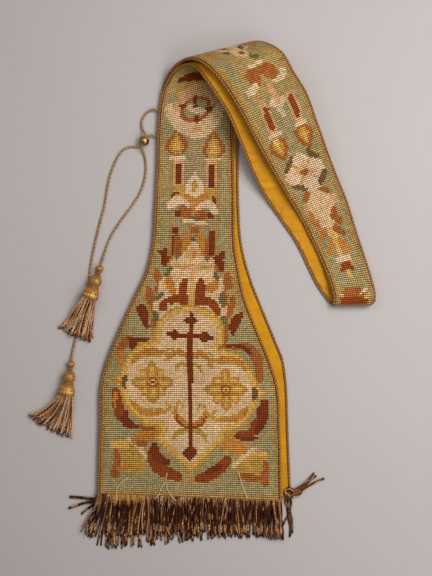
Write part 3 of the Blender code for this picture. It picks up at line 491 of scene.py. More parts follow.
ARM_MOTIFS = (
    Motif("block", "ochre", -14, 256, 3, 20),
    Motif("block", "amber", -4.6, 250, 4, 6),
    Motif("block", "olive_ground", 10, 252.4, 3, 8),
    Motif("block", "olive_ground", 1, 262.6, 18, 10),
    Motif("block", "olive_ground", -4, 247, 8, 10, 10),
    Motif("oval", "rust", -2.6, 254, 6.4, 8.6),
    Motif("oval", "rust", 6, 253, 7, 8.4),
    Motif("block", "rust", 2, 251.4, 9, 4),
    Stroke("white", (-2, 249), (2, 248), (6, 247), (1.8, 1.8, 1.8)),
    Stroke("white", (-8.6, 260), (-6, 259.2), (-2.8, 257.6), (2.6, 3.4, 1.6)),
    Stroke("white", (5, 258.2), (8.8, 258.2), (12, 254.6), (1.2, 3, 2.4)),
    Stroke("white", (1.4, 276.4), (1.4, 273), (1.6, 269), (1.2, 2.8, 3)),
    Motif("diamond", "white", 1.7, 268.4, 10, 8.4),
    Motif("oval", "tan", 2, 267.6, 2.8, 3.8),
    Stroke("tan", (2, 264.6), (2, 262), (2, 258.8), (3, 2.4, 1)),
    Stroke("tan", (-6.3, 279.6), (-5.8, 274), (-5.4, 268.2), (4.8, 4.8, 4.8)),
    Stroke("russet", (-6.3, 278.6), (-5.8, 274), (-5.4, 269.4), (2.9, 2.9, 2.9)),
    Stroke("tan", (7.4, 279.6), (8, 273.6), (8.4, 267.6), (4.8, 4.8, 4.8)),
    Stroke("russet", (7.4, 278.6), (8, 273.6), (8.4, 268.6), (2.9, 2.9, 2.9)),
    Motif("block", "white", -5.8, 282.4, 6.8, 1.8),
    Motif("block", "white", 7.4, 282.6, 6.4, 1.8),
    Motif("drop", "rust", 6.8, 289.6, 9.6, 12.6, 0, 0, 0.8),
    Motif("drop", "ochre", 6.8, 288.8, 5, 8.4, 0, 0, 0.8),
    Motif("drop", "straw", 7, 288.6, 2, 5, 0, 0, 0.8),
    Motif("block", "straw", -6.8, 286, 3, 3),
    Motif("oval", "white", 0.2, 311, 8.6, 10),
    Motif("oval", "white", 0, 299.6, 8.4, 9.4),
    Motif("oval", "white", -5.6, 305.4, 9, 9.4),
    Motif("oval", "white", 5.4, 304.4, 9, 9.4),
    Stroke("tan", (-2, 309), (-0.6, 304.6), (1, 300), (1, 2.6, 1)),
    Stroke("tan", (-5, 303.6), (-0.4, 304.6), (5, 305.8), (1, 2.6, 1)),
    Stroke("ochre", (-4.6, 310), (-3.4, 308.6), (-2.4, 307), (1, 0.9, 0.9)),
    Stroke("ochre", (4.6, 309.6), (3.2, 308), (2, 306.6), (1, 0.9, 0.9)),
    Stroke("ochre", (-5, 299.6), (-3.6, 300.8), (-2.4, 302.4), (1, 0.9, 0.9)),
    Stroke("ochre", (4.4, 299.4), (3, 300.8), (1.8, 302.2), (1, 0.9, 0.9)),
    Motif("oval", "rust", -0.4, 304.6, 3.6, 3.2),
    Stroke("olive", (-3.6, 313.4), (-5.6, 311.4), (-8.6, 309.8), (1.4, 3, 1.2)),
    Stroke("olive", (4, 312.6), (6.6, 309.8), (9, 306.8), (1.4, 3.2, 1.6)),
    Stroke("olive", (-9.4, 302.4), (-6.4, 299.2), (-3, 295.8), (1.4, 2.6, 1.2)),
    Stroke("olive", (9.4, 300.4), (7, 298.4), (5, 295.4), (1.2, 3, 2)),
    Motif("block", "tan", 7, 322, 2.6, 4, 0, 0, 0),
    Motif("drop", "cream", -0.6, 328.4, 11.8, 28),
    Motif("block", "cream", -0.2, 338, 2.8, 8),
    Motif("oval", "cream", 0, 320.4, 11.6, 7),
    Stroke("rust", (-6.4, 318.8), (-5.4, 316.8), (-3.2, 315.4), (1.2, 3, 1.2)),
    Stroke("rust", (5.8, 318), (5, 316.2), (2.2, 315.4), (1.2, 3, 1.2)),
    Stroke("amber", (-7, 324.6), (-6.6, 328.6), (-6, 333), (2.2, 3.2, 2)),
    Stroke("rust", (4.4, 326), (3.8, 330), (5, 334), (1.6, 4, 2.4)),
    Stroke("amber", (-6.4, 339), (-4.8, 337), (-3.4, 334.6), (1.6, 3.4, 1.6)),
    Stroke("rust", (1.8, 334.8), (2.8, 337), (4.8, 339.4), (1.8, 3.4, 1.8)),
    Stroke("amber", (-5.6, 346.4), (-4, 343.8), (-2.4, 341.2), (1.6, 3.4, 1.6)),
    Stroke("amber", (1.6, 341.2), (2.6, 344.2), (4.8, 347.4), (1.8, 3.6, 1.6)),
    Motif("block", "straw", -0.2, 343, 1.8, 16),
    Motif("block", "white", 0, 351, 6.4, 3),
    Motif("oval", "russet", 0.2, 354.6, 5.6, 5),
    Motif("oval", "russet", 2.5, 356.8, 2, 2.2, 0, 0, 0),
    Stroke("straw", (0, 357.4), (0.2, 359), (0.6, 361), (2, 1.6, 1)),
    Motif("block", "russet", -0.4, 372.6, 13.4, 4.6),
    Motif("block", "rust", -1.4, 369.2, 10.8, 2.8),
    Motif("block", "rust", -0.4, 366.8, 7.4, 2.8),
    Stroke("white", (2.6, 369), (4.2, 368), (5.6, 366.8), (1, 1.2, 1)),
    Stroke("straw", (-7.6, 368.2), (-6.6, 369.2), (-5.8, 370.4), (1, 1.2, 1)),
    Stroke("straw", (4.4, 371.6), (5.8, 370.4), (7, 369.2), (1, 1.3, 1)),
)

# The rosettes: their middles, their two rings of four petals, and their eye from the outside in.
ROSETTES = ((-17.5, 54.8), (18, 51.4))
Petals = namedtuple("Petals", "first_turn reach wide dye")
ROSETTE_PETALS = (Petals(45, 4.4, 3.2, "straw"), Petals(0, 5.4, 4.2, "ochre"))
Eye = namedtuple("Eye", "dye size")
ROSETTE_EYE = (Eye("rust", 5.4), Eye("straw", 3.2), Eye("oxblood", 1.2))

# The plain border's width down the long edges and above the hem, in stitches
BORDER_STITCHES = 3.4
HEM_STITCHES = 1.9

# How far a drop tapers to its point
DROP_TAPER = 0.6

# The ground's batches of wool: their width and height in stitches, how strongly a batch and a
# single stitch differ, and how far each ground starts from sage towards olive.
BATCH_WIDE = 7
BATCH_HIGH = 3.2
BATCH_STRENGTH = 0.9
STITCH_STRENGTH = 0.5
BATCH_START = {"sage": 0.12, "olive_ground": 0.75}


# ---------------------------------------------------------------------------------------------
# How the cloth lies


def smooth_slope(before, here, after, gap_before, gap_after):
    """Slope at a knot of a smooth curve through unevenly spaced knots."""
    rise_before = (here - before) / gap_before
    rise_after = (after - here) / gap_after
    return (rise_before * gap_after + rise_after * gap_before) / (gap_before + gap_after)


def level_slope(before, here, after, gap_before, gap_after):
    """The same for a height, which never swings past its knots."""
    rise_before = (here - before) / gap_before
    rise_after = (after - here) / gap_after
    if rise_before * rise_after <= 0:
        return 0.0
    return 2 * rise_before * rise_after / (rise_before + rise_after)


def hermite(start, end, start_slope, end_slope, gap, share):
    """A place between two knots, on the curve that has the given slope at each."""
    square = share * share
    cube = square * share
    return (
        start * (2 * cube - 3 * square + 1)
        + start_slope * gap * (cube - 2 * square + share)
        + end * (3 * square - 2 * cube)
        + end_slope * gap * (cube - square)
    )


class Ruling:
    """One straight line across the cloth, from its inner to its outer edge."""

    def __init__(self, side, inner, outer, inner_way, outer_way):
        self.side = side
        self.inner, self.outer = inner, outer
        self.inner_way, self.outer_way = inner_way, outer_way
        self.span = outer - inner
        self.width = self.span.length

    def normal(self, share):
        way = self.inner_way.lerp(self.outer_way, share)
        return self.span.cross(way).normalized() * self.side

    def spot(self, off_middle, depth):
        """A point so far out from the middle line and so deep under the stitched side."""
        share = 0.5 + off_middle / self.width
        return self.inner + self.span * share - self.normal(share) * depth

    def reach(self, way, inset):
        """How far out from the middle line a seam runs that is inset square to an edge."""
        along = self.span.dot(way) / self.width / way.length
        return self.width / 2 - inset / math.sqrt(max(1e-6, 1 - along * along))

    def seam(self, edge):
        if edge == "inner":
            return -self.reach(self.inner_way, EDGE_INSET)
        return self.reach(self.outer_way, EDGE_INSET)

    def edging_spot(self, edge):
        """The middle of the edging along one edge."""
        here, way, inward = self.inner, self.inner_way.normalized(), self.span
        if edge == "outer":
            here, way, inward = self.outer, self.outer_way.normalized(), -self.span
        inward = (inward - way * inward.dot(way)).normalized()
        share = 0.0 if edge == "inner" else 1.0
        depth = PLY / 2 + EDGING_SINK
        return here + inward * EDGING_DIAMETER / 2 - self.normal(share) * depth


class LaidHalf:
    """One half of the stole as it lies, measured up from its hem along its middle line."""

    STEPS = 24

    def __init__(self, rows, side):
        self.side = side
        self.gaps = [
            (math.dist(a.inner, b.inner) + math.dist(a.outer, b.outer)) / 2
            for a, b in zip(rows, rows[1:])
        ]
        edges = ([row.inner for row in rows], [row.outer for row in rows])
        inner, outer = (self.smooth_edge(knots) for knots in edges)
        ways = [self.headings(line) for line in (inner, outer)]
        self.trail = list(zip(inner, outer, *ways))[::-1]
        middle = [(a + b) / 2 for a, b, _, _ in self.trail]
        self.up = [0.0]
        for a, b in zip(middle, middle[1:]):
            self.up.append(self.up[-1] + (b - a).length)
        self.length = self.up[-1]

    def smooth_edge(self, knots):
        """The cloth stands upright at the neck seam and runs straight off at the hem."""
        slopes = [(0.0, 0.0, math.copysign(1.0, knots[1][2] - knots[0][2]))]
        for i in range(1, len(knots) - 1):
            slopes.append(tuple(
                (level_slope if axis == 2 else smooth_slope)(
                    knots[i - 1][axis], knots[i][axis], knots[i + 1][axis],
                    self.gaps[i - 1], self.gaps[i],
                )
                for axis in range(3)
            ))
        slopes.append(tuple((b - a) / self.gaps[-1] for a, b in zip(knots[-2], knots[-1])))
        line = []
        for i, gap in enumerate(self.gaps):
            for step in range(self.STEPS):
                line.append(Vector([
                    hermite(
                        knots[i][axis], knots[i + 1][axis], slopes[i][axis], slopes[i + 1][axis],
                        gap, step / self.STEPS,
                    )
                    for axis in range(3)
                ]))
        return line + [Vector(knots[-1])]

    def headings(self, line):
        """Which way an edge runs, from the neck to the hem."""
        last = len(line) - 1
        return [(line[min(i + 1, last)] - line[max(i - 1, 0)]).normalized() for i in range(last + 1)]

    def at(self, up):
        """The ruling so far up from the hem."""
        i = min(max(bisect_right(self.up, up) - 1, 0), len(self.up) - 2)
        share = min(max((up - self.up[i]) / (self.up[i + 1] - self.up[i]), 0.0), 1.0)
        return Ruling(
            self.side, *(a.lerp(b, share) for a, b in zip(self.trail[i], self.trail[i + 1]))
        )


# ---------------------------------------------------------------------------------------------
# Making meshes

# The angle from which an edge is sharp, how near each other points are welded, and into how many
# steps a route is cut between its own points
SHARP_FROM = math.radians(50)
WELD = 0.03
ROUTE_STEPS = 12


def net(bm, across, along):
    """A grid of across by along faces.  Returns its vertices, one list for each line across."""
    made = bmesh.ops.create_grid(bm, x_segments=across, y_segments=along, size=0.5)["verts"]
    made = sorted(made, key=lambda vert: (round(vert.co.y * along * 2), vert.co.x))
    return [made[k : k + across + 1] for k in range(0, len(made), across + 1)]


def rolled_net(bm, sides, rings):
    """The same, closed round into a tube with filled ends.  Returns its rings of vertices."""
    rows = net(bm, sides, rings - 1)
    bmesh.ops.weld_verts(bm, targetmap={row[-1]: row[0] for row in rows})
    rows = [row[:-1] for row in rows]
    for ring in (rows[0], rows[-1]):
        bmesh.ops.contextual_create(bm, geom=ring)
    return rows


def backed(bm):
    """Gives a flat net a second side.  Returns the vertices of its front and of its back."""
    front = list(bm.verts)
    grown = bmesh.ops.extrude_face_region(bm, geom=bm.faces[:])["geom"]
    return front, [item for item in grown if isinstance(item, bmesh.types.BMVert)]


def finished(name, bm, material, nodes):
    """Turns a bmesh in the tables' millimetres into a piece that stands for its CAD nodes."""
    bmesh.ops.recalc_face_normals(bm, faces=bm.faces)
    bmesh.ops.translate(bm, vec=-MIDDLE, verts=bm.verts)
    bmesh.ops.scale(bm, vec=(MM, MM, MM), verts=bm.verts)
    mesh = bpy.data.meshes.new(name)
    bm.to_mesh(mesh)
    bm.free()
    mesh.shade_smooth()
    mesh.set_sharp_from_angle(angle=SHARP_FROM)
    piece = bpy.data.objects.new(name, mesh)
    mesh.materials.append(material)
    bpy.context.scene.collection.objects.link(piece)
    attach(piece, "root")
    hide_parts(*nodes)
    return piece


def smooth_route(points, step):
    """Evenly spaced points on a smooth curve through a route's own points."""
    knots = [Vector(point) for point in points]
    gaps = [(b - a).length for a, b in zip(knots, knots[1:])]
    slopes = [(knots[1] - knots[0]) / gaps[0]]
    for i in range(1, len(knots) - 1):
        slopes.append(smooth_slope(knots[i - 1], knots[i], knots[i + 1], gaps[i - 1], gaps[i]))
    slopes.append((knots[-1] - knots[-2]) / gaps[-1])
    fine = []
    for i, gap in enumerate(gaps):
        fine += [
            hermite(knots[i], knots[i + 1], slopes[i], slopes[i + 1], gap, part / ROUTE_STEPS)
            for part in range(ROUTE_STEPS)
        ]
    fine.append(knots[-1])
    return evenly(fine, step)


def evenly(line, step):
    """The same line with its points evenly spaced."""
    total = sum((b - a).length for a, b in zip(line, line[1:]))
    count = max(2, round(total / step))
    even, walked, target = [line[0]], 0.0, total / count
    for a, b in zip(line, line[1:]):
        length = (b - a).length
        while walked + length >= target and len(even) < count:
            even.append(a.lerp(b, (target - walked) / length))
            target += total / count
        walked += length
    even.append(line[-1])
    return even


# The plies of a cord: how many, and each one's radius and distance from the cord's middle, as
# shares of the cord's radius.  Painted shade in the grooves between plies keeps this share of
# their dye.
Ply = namedtuple("Ply", "count radius offset")
TWO_PLY = Ply(2, 0.62, 0.38)
THREE_PLY = Ply(3, 0.54, 0.46)
GROOVE_PAINTED_SHADE = 0.42


def ply_reach(ply, angle):
    """How far out a ply reaches at an angle from its own middle."""
    return ply.offset * math.cos(angle) + math.sqrt(
        ply.radius**2 - (ply.offset * math.sin(angle)) ** 2
    )


def twisted(bm, line, diameter, ply, pitch, sides, dyes, start=0.0, tips=0.8):
    """A cord of twisted plies along a line.  dyes gives a colour for each ply at a share of the
    way along it, and the grooves between plies are darkened with painted shade."""
    dye_of = bm.verts.layers.float_color.get("dye") or bm.verts.layers.float_color.new("dye")
    rings = rolled_net(bm, sides, len(line))
    heading = (line[1] - line[0]).normalized()
    side = heading.orthogonal().normalized()
    walked = 0.0
    sector = math.tau / ply.count
    low = ply_reach(ply, sector / 2)
    last = len(line) - 1
    for k, ring in enumerate(rings):
        here = line[k]
        if k:
            walked += (here - line[k - 1]).length
            new_heading = (line[min(k + 1, last)] - line[k - 1]).normalized()
            side.rotate(heading.rotation_difference(new_heading))
            heading = new_heading
        across = heading.cross(side)
        size = diameter / 2 * (tips if k in (0, last) else 1.0)
        turn = start + math.tau * walked / pitch
        for i, vert in enumerate(ring):
            angle = math.tau * i / sides
            from_start = angle - turn + sector / 2
            bulge = ply_reach(ply, from_start % sector - sector / 2)
            vert.co = here + (side * math.cos(angle) + across * math.sin(angle)) * size * bulge
            which = int((from_start // sector) % ply.count)
            # Painted shade: the dye darkens from each ply's crown into the grooves between plies
            painted_light_and_shade = GROOVE_PAINTED_SHADE + (1 - GROOVE_PAINTED_SHADE) * (bulge - low) / (1 - low)
            vert[dye_of] = (*lighter(dyes(k / last, which), painted_light_and_shade), 1.0)


def mixed(colour, other, share):
    """A colour that is so far on the way to another one."""
    return tuple(a + (b - a) * share for a, b in zip(colour, other))


def lighter(colour, amount):
    """A colour made lighter, or darker where the amount is under 1."""
    return tuple(value * amount for value in colour)


# ---------------------------------------------------------------------------------------------
# Finishes


def dye(red, green, blue):
    """A colour as it looks on a screen, from 0 to 255, as linear light."""
    return tuple(
        value / 12.92 if value <= 0.04045 else ((value + 0.055) / 1.055) ** 2.4
        for value in (red / 255, green / 255, blue / 255)
    )


def wire(tree, kind, sockets=(), **settings):
    """A node with its settings, and each socket given a value or a link."""
    node = tree.nodes.new(kind)
    for name, value in settings.items():
        setattr(node, name, value)
    for name, value in dict(sockets).items():
        if isinstance(value, bpy.types.NodeSocket):
            tree.links.new(value, node.inputs[name])
        else:
            node.inputs[name].default_value = value
    return node


def calc(tree, operation, *values):
    """A sum of values or of other nodes' outputs."""
    return wire(tree, "ShaderNodeMath", dict(enumerate(values)), operation=operation).outputs[0]


def noise(tree, place, scale, detail=2.0, low=0.9, high=1.1):
    """Soft unevenness between two values."""
    cloud = wire(tree, "ShaderNodeTexNoise", {"Vector": place, "Scale": scale, "Detail": detail})
    spread = wire(
        tree, "ShaderNodeMapRange",
        {"Value": cloud.outputs[0], "From Min": 0.3, "From Max": 0.7, "To Min": low, "To Max": high},
    )
    return spread.outputs[0]


def new_finish(name, roughness, metallic=0.0, **sockets):
    """A material with one shader, whose sockets keep their own constant settings."""
    made = bpy.data.materials.new(name)
    made.use_nodes = True
    tree = made.node_tree
    shader = tree.nodes["Principled BSDF"]
    shader.inputs["Roughness"].default_value = roughness
    shader.inputs["Metallic"].default_value = metallic
    for socket, value in sockets.items():
        shader.inputs[socket.replace("_", " ")].default_value = value
    return made, tree, shader


def object_place(tree):
    return wire(tree, "ShaderNodeTexCoord").outputs["Object"]


def chart_dye(tree):
    """The colour that each stitch or strand carries."""
    return wire(tree, "ShaderNodeAttribute", attribute_name="dye").outputs["Color"]


def one_dye(tree, colour):
    """The same colour all over."""
    made = wire(tree, "ShaderNodeRGB")
    made.outputs[0].default_value = (*colour, 1.0)
    return made.outputs[0]


def dyed(tree, shader, colour, amount):
    """Gives the shader a colour made lighter or darker by an amount about 1."""
    tinted = wire(tree, "ShaderNodeVectorMath", {0: colour, "Scale": amount}, operation="SCALE")
    tree.links.new(tinted.outputs[0], shader.inputs["Base Color"])


def raised(tree, shader, height, distance, strength):
    """Gives the shader a relief."""
    bump = wire(
        tree, "ShaderNodeBump", {"Height": height, "Distance": distance, "Strength": strength},
    )
    tree.links.new(bump.outputs[0], shader.inputs["Normal"])


# A tent stitch: its slant, how squarely its sides and its ends round off, how far it hollows at
# its sides, and its painted highlight on top and painted shade in the holes of the canvas.
STITCH_SLANT = -0.3
STITCH_SIDES = 2.0
STITCH_ENDS = 1.4
STITCH_HOLLOW = 0.7
STITCH_PAINTED_HIGHLIGHT = 1.95
STITCH_PAINTED_HOLE_SHADE = 0.03


def edge_share(tree, off_middle, power):
    """0 at a stitch's middle and 1 at its edge."""
    return calc(tree, "POWER", calc(tree, "ABSOLUTE", calc(tree, "MULTIPLY", off_middle, 2.0)), power)


def wool_finish():
    """Tent stitches: a plump slanted stitch in every hole of the canvas, dyed by the chart, with a
    painted highlight on each stitch and painted shade in the holes.
    """
    made, tree, shader = new_finish(
        "Wool needlework", 0.9, Sheen_Weight=0.04, Sheen_Roughness=0.5, Specular_IOR_Level=0.12,
    )
    place = object_place(tree)
    chart = wire(tree, "ShaderNodeUVMap", uv_map="stitches").outputs[0]
    cell = wire(tree, "ShaderNodeSeparateXYZ", {0: chart})
    sideways, upwards = (
        calc(tree, "SUBTRACT", calc(tree, "FRACT", cell.outputs[axis]), 0.5) for axis in (0, 1)
    )
    slanted = calc(tree, "ADD", sideways, calc(tree, "MULTIPLY", upwards, STITCH_SLANT))
    across = calc(tree, "MINIMUM", edge_share(tree, slanted, STITCH_SIDES), 1.0)
    along = edge_share(tree, upwards, STITCH_ENDS)
    plump = calc(
        tree, "MULTIPLY",
        calc(tree, "SUBTRACT", 1.0, calc(tree, "MULTIPLY", across, STITCH_HOLLOW)),
        calc(tree, "SUBTRACT", 1.0, along),
    )
    fibre = noise(tree, place, scale=1900.0, low=0.84, high=1.12)
    patch = noise(tree, place, scale=22.0, detail=3.0, low=0.88, high=1.10)
    stitch = wire(
        tree, "ShaderNodeTexWhiteNoise",
        {"Vector": wire(tree, "ShaderNodeVectorMath", {0: chart}, operation="FLOOR").outputs[0]},
        noise_dimensions="2D",
    )
    uneven = wire(
        tree, "ShaderNodeMapRange", {"Value": stitch.outputs[0], "To Min": 0.8, "To Max": 1.18},
    )
    # Painted highlight and shade: the colour is lightened on each stitch's top and darkened in the
    # canvas holes
    painted_light_and_shade = calc(tree, "ADD", calc(tree, "MULTIPLY", plump, STITCH_PAINTED_HIGHLIGHT), STITCH_PAINTED_HOLE_SHADE)
    amount = calc(
        tree, "MULTIPLY",
        calc(tree, "MULTIPLY", painted_light_and_shade, fibre), calc(tree, "MULTIPLY", patch, uneven.outputs[0]),
    )
    dyed(tree, shader, chart_dye(tree), amount)
    raised(tree, shader, calc(tree, "MULTIPLY", plump, fibre), distance=0.0009, strength=0.55)
    return made


def silk_finish(colour):
    """Satin: a close weave of fine warp threads with a soft sheen."""
    made, tree, shader = new_finish(
        "Satin lining", 0.42, Sheen_Weight=0.0, Specular_IOR_Level=0.4,
        Specular_Tint=(1.0, 0.72, 0.25, 1.0),
    )
    cloth = wire(tree, "ShaderNodeUVMap", uv_map="cloth").outputs[0]
    threads = wire(
        tree, "ShaderNodeMapping", {"Vector": cloth, "Scale": (0.35, 7.0, 1.0)},
    ).outputs[0]
    slub = noise(tree, threads, scale=0.9, detail=3.0, low=0.86, high=1.08)
    worn = noise(tree, object_place(tree), scale=34.0, detail=3.0, low=0.86, high=1.08)
    dyed(tree, shader, one_dye(tree, colour), calc(tree, "MULTIPLY", slub, worn))
    raised(tree, shader, slub, distance=0.00035, strength=0.5)
    return made


Thread = namedtuple("Thread", "name roughness metallic specular")
TIE_THREAD = Thread("Tie cord", 0.6, 0.0, 0.4)
TASSEL_THREAD = Thread("Tassel thread", 0.32, 0.35, 0.5)
EDGING_THREAD = Thread("Edging cord", 0.6, 0.0, 0.35)
FRINGE_THREAD = Thread("Fringe thread", 0.34, 0.45, 0.2)
LOOSE_THREAD = Thread("Loose thread", 0.6, 0.0, 0.4)


def thread_finish(thread):
    """Wound thread, dyed by its dye attribute, with fibres that catch the light."""
    made, tree, shader = new_finish(
        thread.name, thread.roughness, thread.metallic, Specular_IOR_Level=thread.specular,
        Specular_Tint=(1.0, 0.8, 0.6, 1.0),
    )
    place = object_place(tree)
    fibre = noise(tree, place, scale=2600.0, low=0.78, high=1.16)
    patch = noise(tree, place, scale=60.0, low=0.9, high=1.08)
    dyed(tree, shader, chart_dye(tree), calc(tree, "MULTIPLY", fibre, patch))
    raised(tree, shader, fibre, distance=0.0003, strength=0.5)
    return made


def brass_finish(colour):
    """Handled brass, duller in patches."""
    made, tree, shader = new_finish("Brass", 0.3, 1.0)
    place = object_place(tree)
    worn = noise(tree, place, scale=320.0, detail=4.0, low=0.78, high=1.1)
    rough = noise(tree, place, scale=900.0, low=0.24, high=0.42)
    tree.links.new(rough, shader.inputs["Roughness"])
    dyed(tree, shader, one_dye(tree, colour), worn)
    raised(tree, shader, worn, distance=0.0001, strength=0.3)
    return made


def table_finish(colour):
    """A plain, even table top."""
    made, tree, shader = new_finish("Pale table", 0.9, Specular_IOR_Level=0.2)
    grain = noise(tree, object_place(tree), scale=4.0, detail=3.0, low=0.985, high=1.015)
    dyed(tree, shader, one_dye(tree, colour), grain)
    return made


# ---------------------------------------------------------------------------------------------
# Needlework


def covers(motif, x, y):
    """Whether a stitch lies in a motif."""
    angle = math.radians(motif.turn)
    right, up = x - motif.x, y - motif.y
    right, up = (
        right * math.cos(angle) + up * math.sin(angle),
        up * math.cos(angle) - right * math.sin(angle),
    )
    along = up / (motif.high / 2)
    if abs(along) > 1:
        return False
    right -= motif.bow * (1 - along * along)
    out = abs(right) / (motif.wide / 2)
    if motif.shape == "block":
        return out <= 1
    if motif.shape == "oval":
        return out * out + along * along <= 1
    if motif.shape == "diamond":
        return out + abs(along) <= 1
    # A drop: round below and pointed above
    return out <= math.sin(math.pi * ((along + 1) / 2) ** DROP_TAPER)


def near(x, y, reach):
    """The stitches within reach of a place."""
    for row in range(math.floor(y - reach), math.ceil(y + reach) + 1):
        for column in range(math.floor(x - reach), math.ceil(x + reach) + 1):
            yield column, row


def through(values, share):
    """A smooth run through a start, a middle and an end value."""
    start, middle, end = values
    return (
        start * (1 - share) * (1 - 2 * share) + middle * 4 * share * (1 - share)
        + end * share * (2 * share - 1)
    )


def paint(chart, shape):
    """Dyes every stitch that a stroke, or a motif and its twin, covers."""
    if isinstance(shape, Stroke):
        # Steps of about half a stitch leave no gap in the stroke
        steps = 2 * round(math.dist(shape.start, shape.end)) + 8
        for step in range(steps + 1):
            x, y, wide = (
                through(values, step / steps)
                for values in (*zip(shape.start, shape.middle, shape.end), shape.widths)
            )
            for spot in near(x, y, wide):
                if math.dist(spot, (x, y)) <= wide / 2:
                    chart[spot] = shape.dye
        return
    twins = [shape]
    if shape.twin is not None:
        twins.append(shape._replace(
            x=-shape.x, y=shape.y + shape.twin, turn=-shape.turn, bow=-shape.bow,
        ))
    for twin in twins:
        for spot in near(twin.x, twin.y, math.hypot(twin.wide, twin.high) / 2 + abs(twin.bow)):
            if covers(twin, *spot):
                chart[spot] = shape.dye


def paint_frame(chart):
    """The four-lobed frame, each band of it as far in from the rim all the way round."""
    lobes = {}
    for lobe in FRAME_LOBES:
        paint(lobes, lobe)
    turns = [math.radians(turn) for turn in range(0, 360, 30)]
    for x, y in lobes:
        for band in FRAME_BANDS:
            if all(
                (round(x + band.inwards * math.cos(turn)), round(y + band.inwards * math.sin(turn)))
                in lobes for turn in turns
            ):
                chart[x, y] = band.dye


def paint_rosette(chart, x, y):
    """A flower of four long petals and four short ones between them, each with a pale vein."""
    for ring in ROSETTE_PETALS:
        for turn in range(ring.first_turn, 360 + ring.first_turn, 90):
            angle = math.radians(turn)
            vein = [
                (x - out * math.sin(angle), y + out * math.cos(angle))
                for out in (ring.reach - 2.6, ring.reach, ring.reach + 2.2)
            ]
            petal = Motif("oval", "amber", *vein[1], ring.wide + 1.7, 2 * ring.reach - 0.6, turn)
            paint(chart, petal)
            paint(chart, petal._replace(
                dye=ring.dye, wide=ring.wide - 0.2, high=2 * ring.reach - 2.4,
            ))
            paint(chart, Stroke("straw", *vein, (1.0, 1.8, 0.9)))
    for eye in ROSETTE_EYE:
        paint(chart, Motif("oval", eye.dye, x, y, eye.size, eye.size))


def stitch_chart():
    """The dye of every stitch that a shape covers; the rest is ground."""
    chart = {}
    for shape in OLIVE_PATCHES + SPADE_CORNERS + SPADE_SIDES + SPADE_CAP:
        paint(chart, shape)
    paint_frame(chart)
    for place in ROSETTES:
        paint_rosette(chart, *place)
    for shape in FRAME_MOTIFS + BAND_MOTIFS + ARM_MOTIFS:
        paint(chart, shape)
    return chart


def ground_dye(dyes, ground, column, row):
    """The ground was stitched from faded batches of wool, between sage and olive."""
    share = BATCH_STRENGTH * noise_at((column / BATCH_WIDE, row / BATCH_HIGH, 0))
    share += STITCH_STRENGTH * noise_at((column, row / 2, 9))
    share += BATCH_START[ground]
    return mixed(dyes["sage"], dyes["olive_ground"], max(0.0, min(1.0, share)))


def needlework(name, half, chart, dyes, pitch, finish, node):
    """The stitched face of one half, a square of cloth for each stitch, with a plain back."""
    count = round((half.length - SEAM_GAP / 2) / pitch)
    rise = (half.length - SEAM_GAP / 2) / count
    rulings = [half.at(rise * row) for row in range(count + 1)]
    reach = math.ceil(max(ruling.width for ruling in rulings) / 2 / pitch)
    bm = bmesh.new()
    column_of = bm.faces.layers.int.new("column")
    row_of = bm.faces.layers.int.new("row")
    line_of = bm.verts.layers.int.new("line")
    dye_of = bm.loops.layers.float_color.new("dye")
    stitches = bm.loops.layers.uv.new("stitches")
    rows = net(bm, 2 * reach + 1, count)
    for face in bm.faces:
        middle = face.calc_center_median()
        face[column_of] = round((middle.x + 0.5) * (2 * reach + 1) - 0.5) - reach
        face[row_of] = round((middle.y + 0.5) * count - 0.5)
    for line, row in enumerate(rows):
        low, high = rulings[line].seam("inner"), rulings[line].seam("outer")
        for i, vert in enumerate(row):
            out = (i - reach - 0.5) * pitch
            vert.co = (min(max(out, low), high), line * rise, 0)
            vert[line_of] = line
    # The columns past the cloth's edge all lie on it now
    bmesh.ops.remove_doubles(bm, verts=bm.verts, dist=WELD)
    for face in bm.faces:
        column, row = face[column_of], face[row_of]
        kind = chart.get((column, row), "sage")
        if abs(column) > rulings[row].width / 2 / pitch - BORDER_STITCHES or row < HEM_STITCHES:
            kind = "border"
        colour = ground_dye(dyes, kind, column, row) if kind in BATCH_START else dyes[kind]
        for loop in face.loops:
            loop[dye_of] = (*colour, 1.0)
            loop[stitches].uv = (loop.vert.co.x / pitch, loop.vert.co.y / rise)
    front, back = backed(bm)
    for verts, depth in ((front, 0.0), (back, FACE_THICK)):
        for vert in verts:
            vert.co = rulings[vert[line_of]].spot(vert.co.x, depth)
    return finished(name, bm, finish, [node])


# ---------------------------------------------------------------------------------------------
# Silk linings

# How far apart the lining's lines are, how many columns they have, and how much closer together
# those are by the seams
LINING_STEP = 2.2
LINING_COLUMNS = 26
LINING_CROWDING = 0.05

# The shown side's depth, how far its troughs may sink, and over what width by the seams its creases
# fade
LINING_DEPTH = PLY - 0.35
LINING_SINK = 0.3
LINING_RIM = 2.0

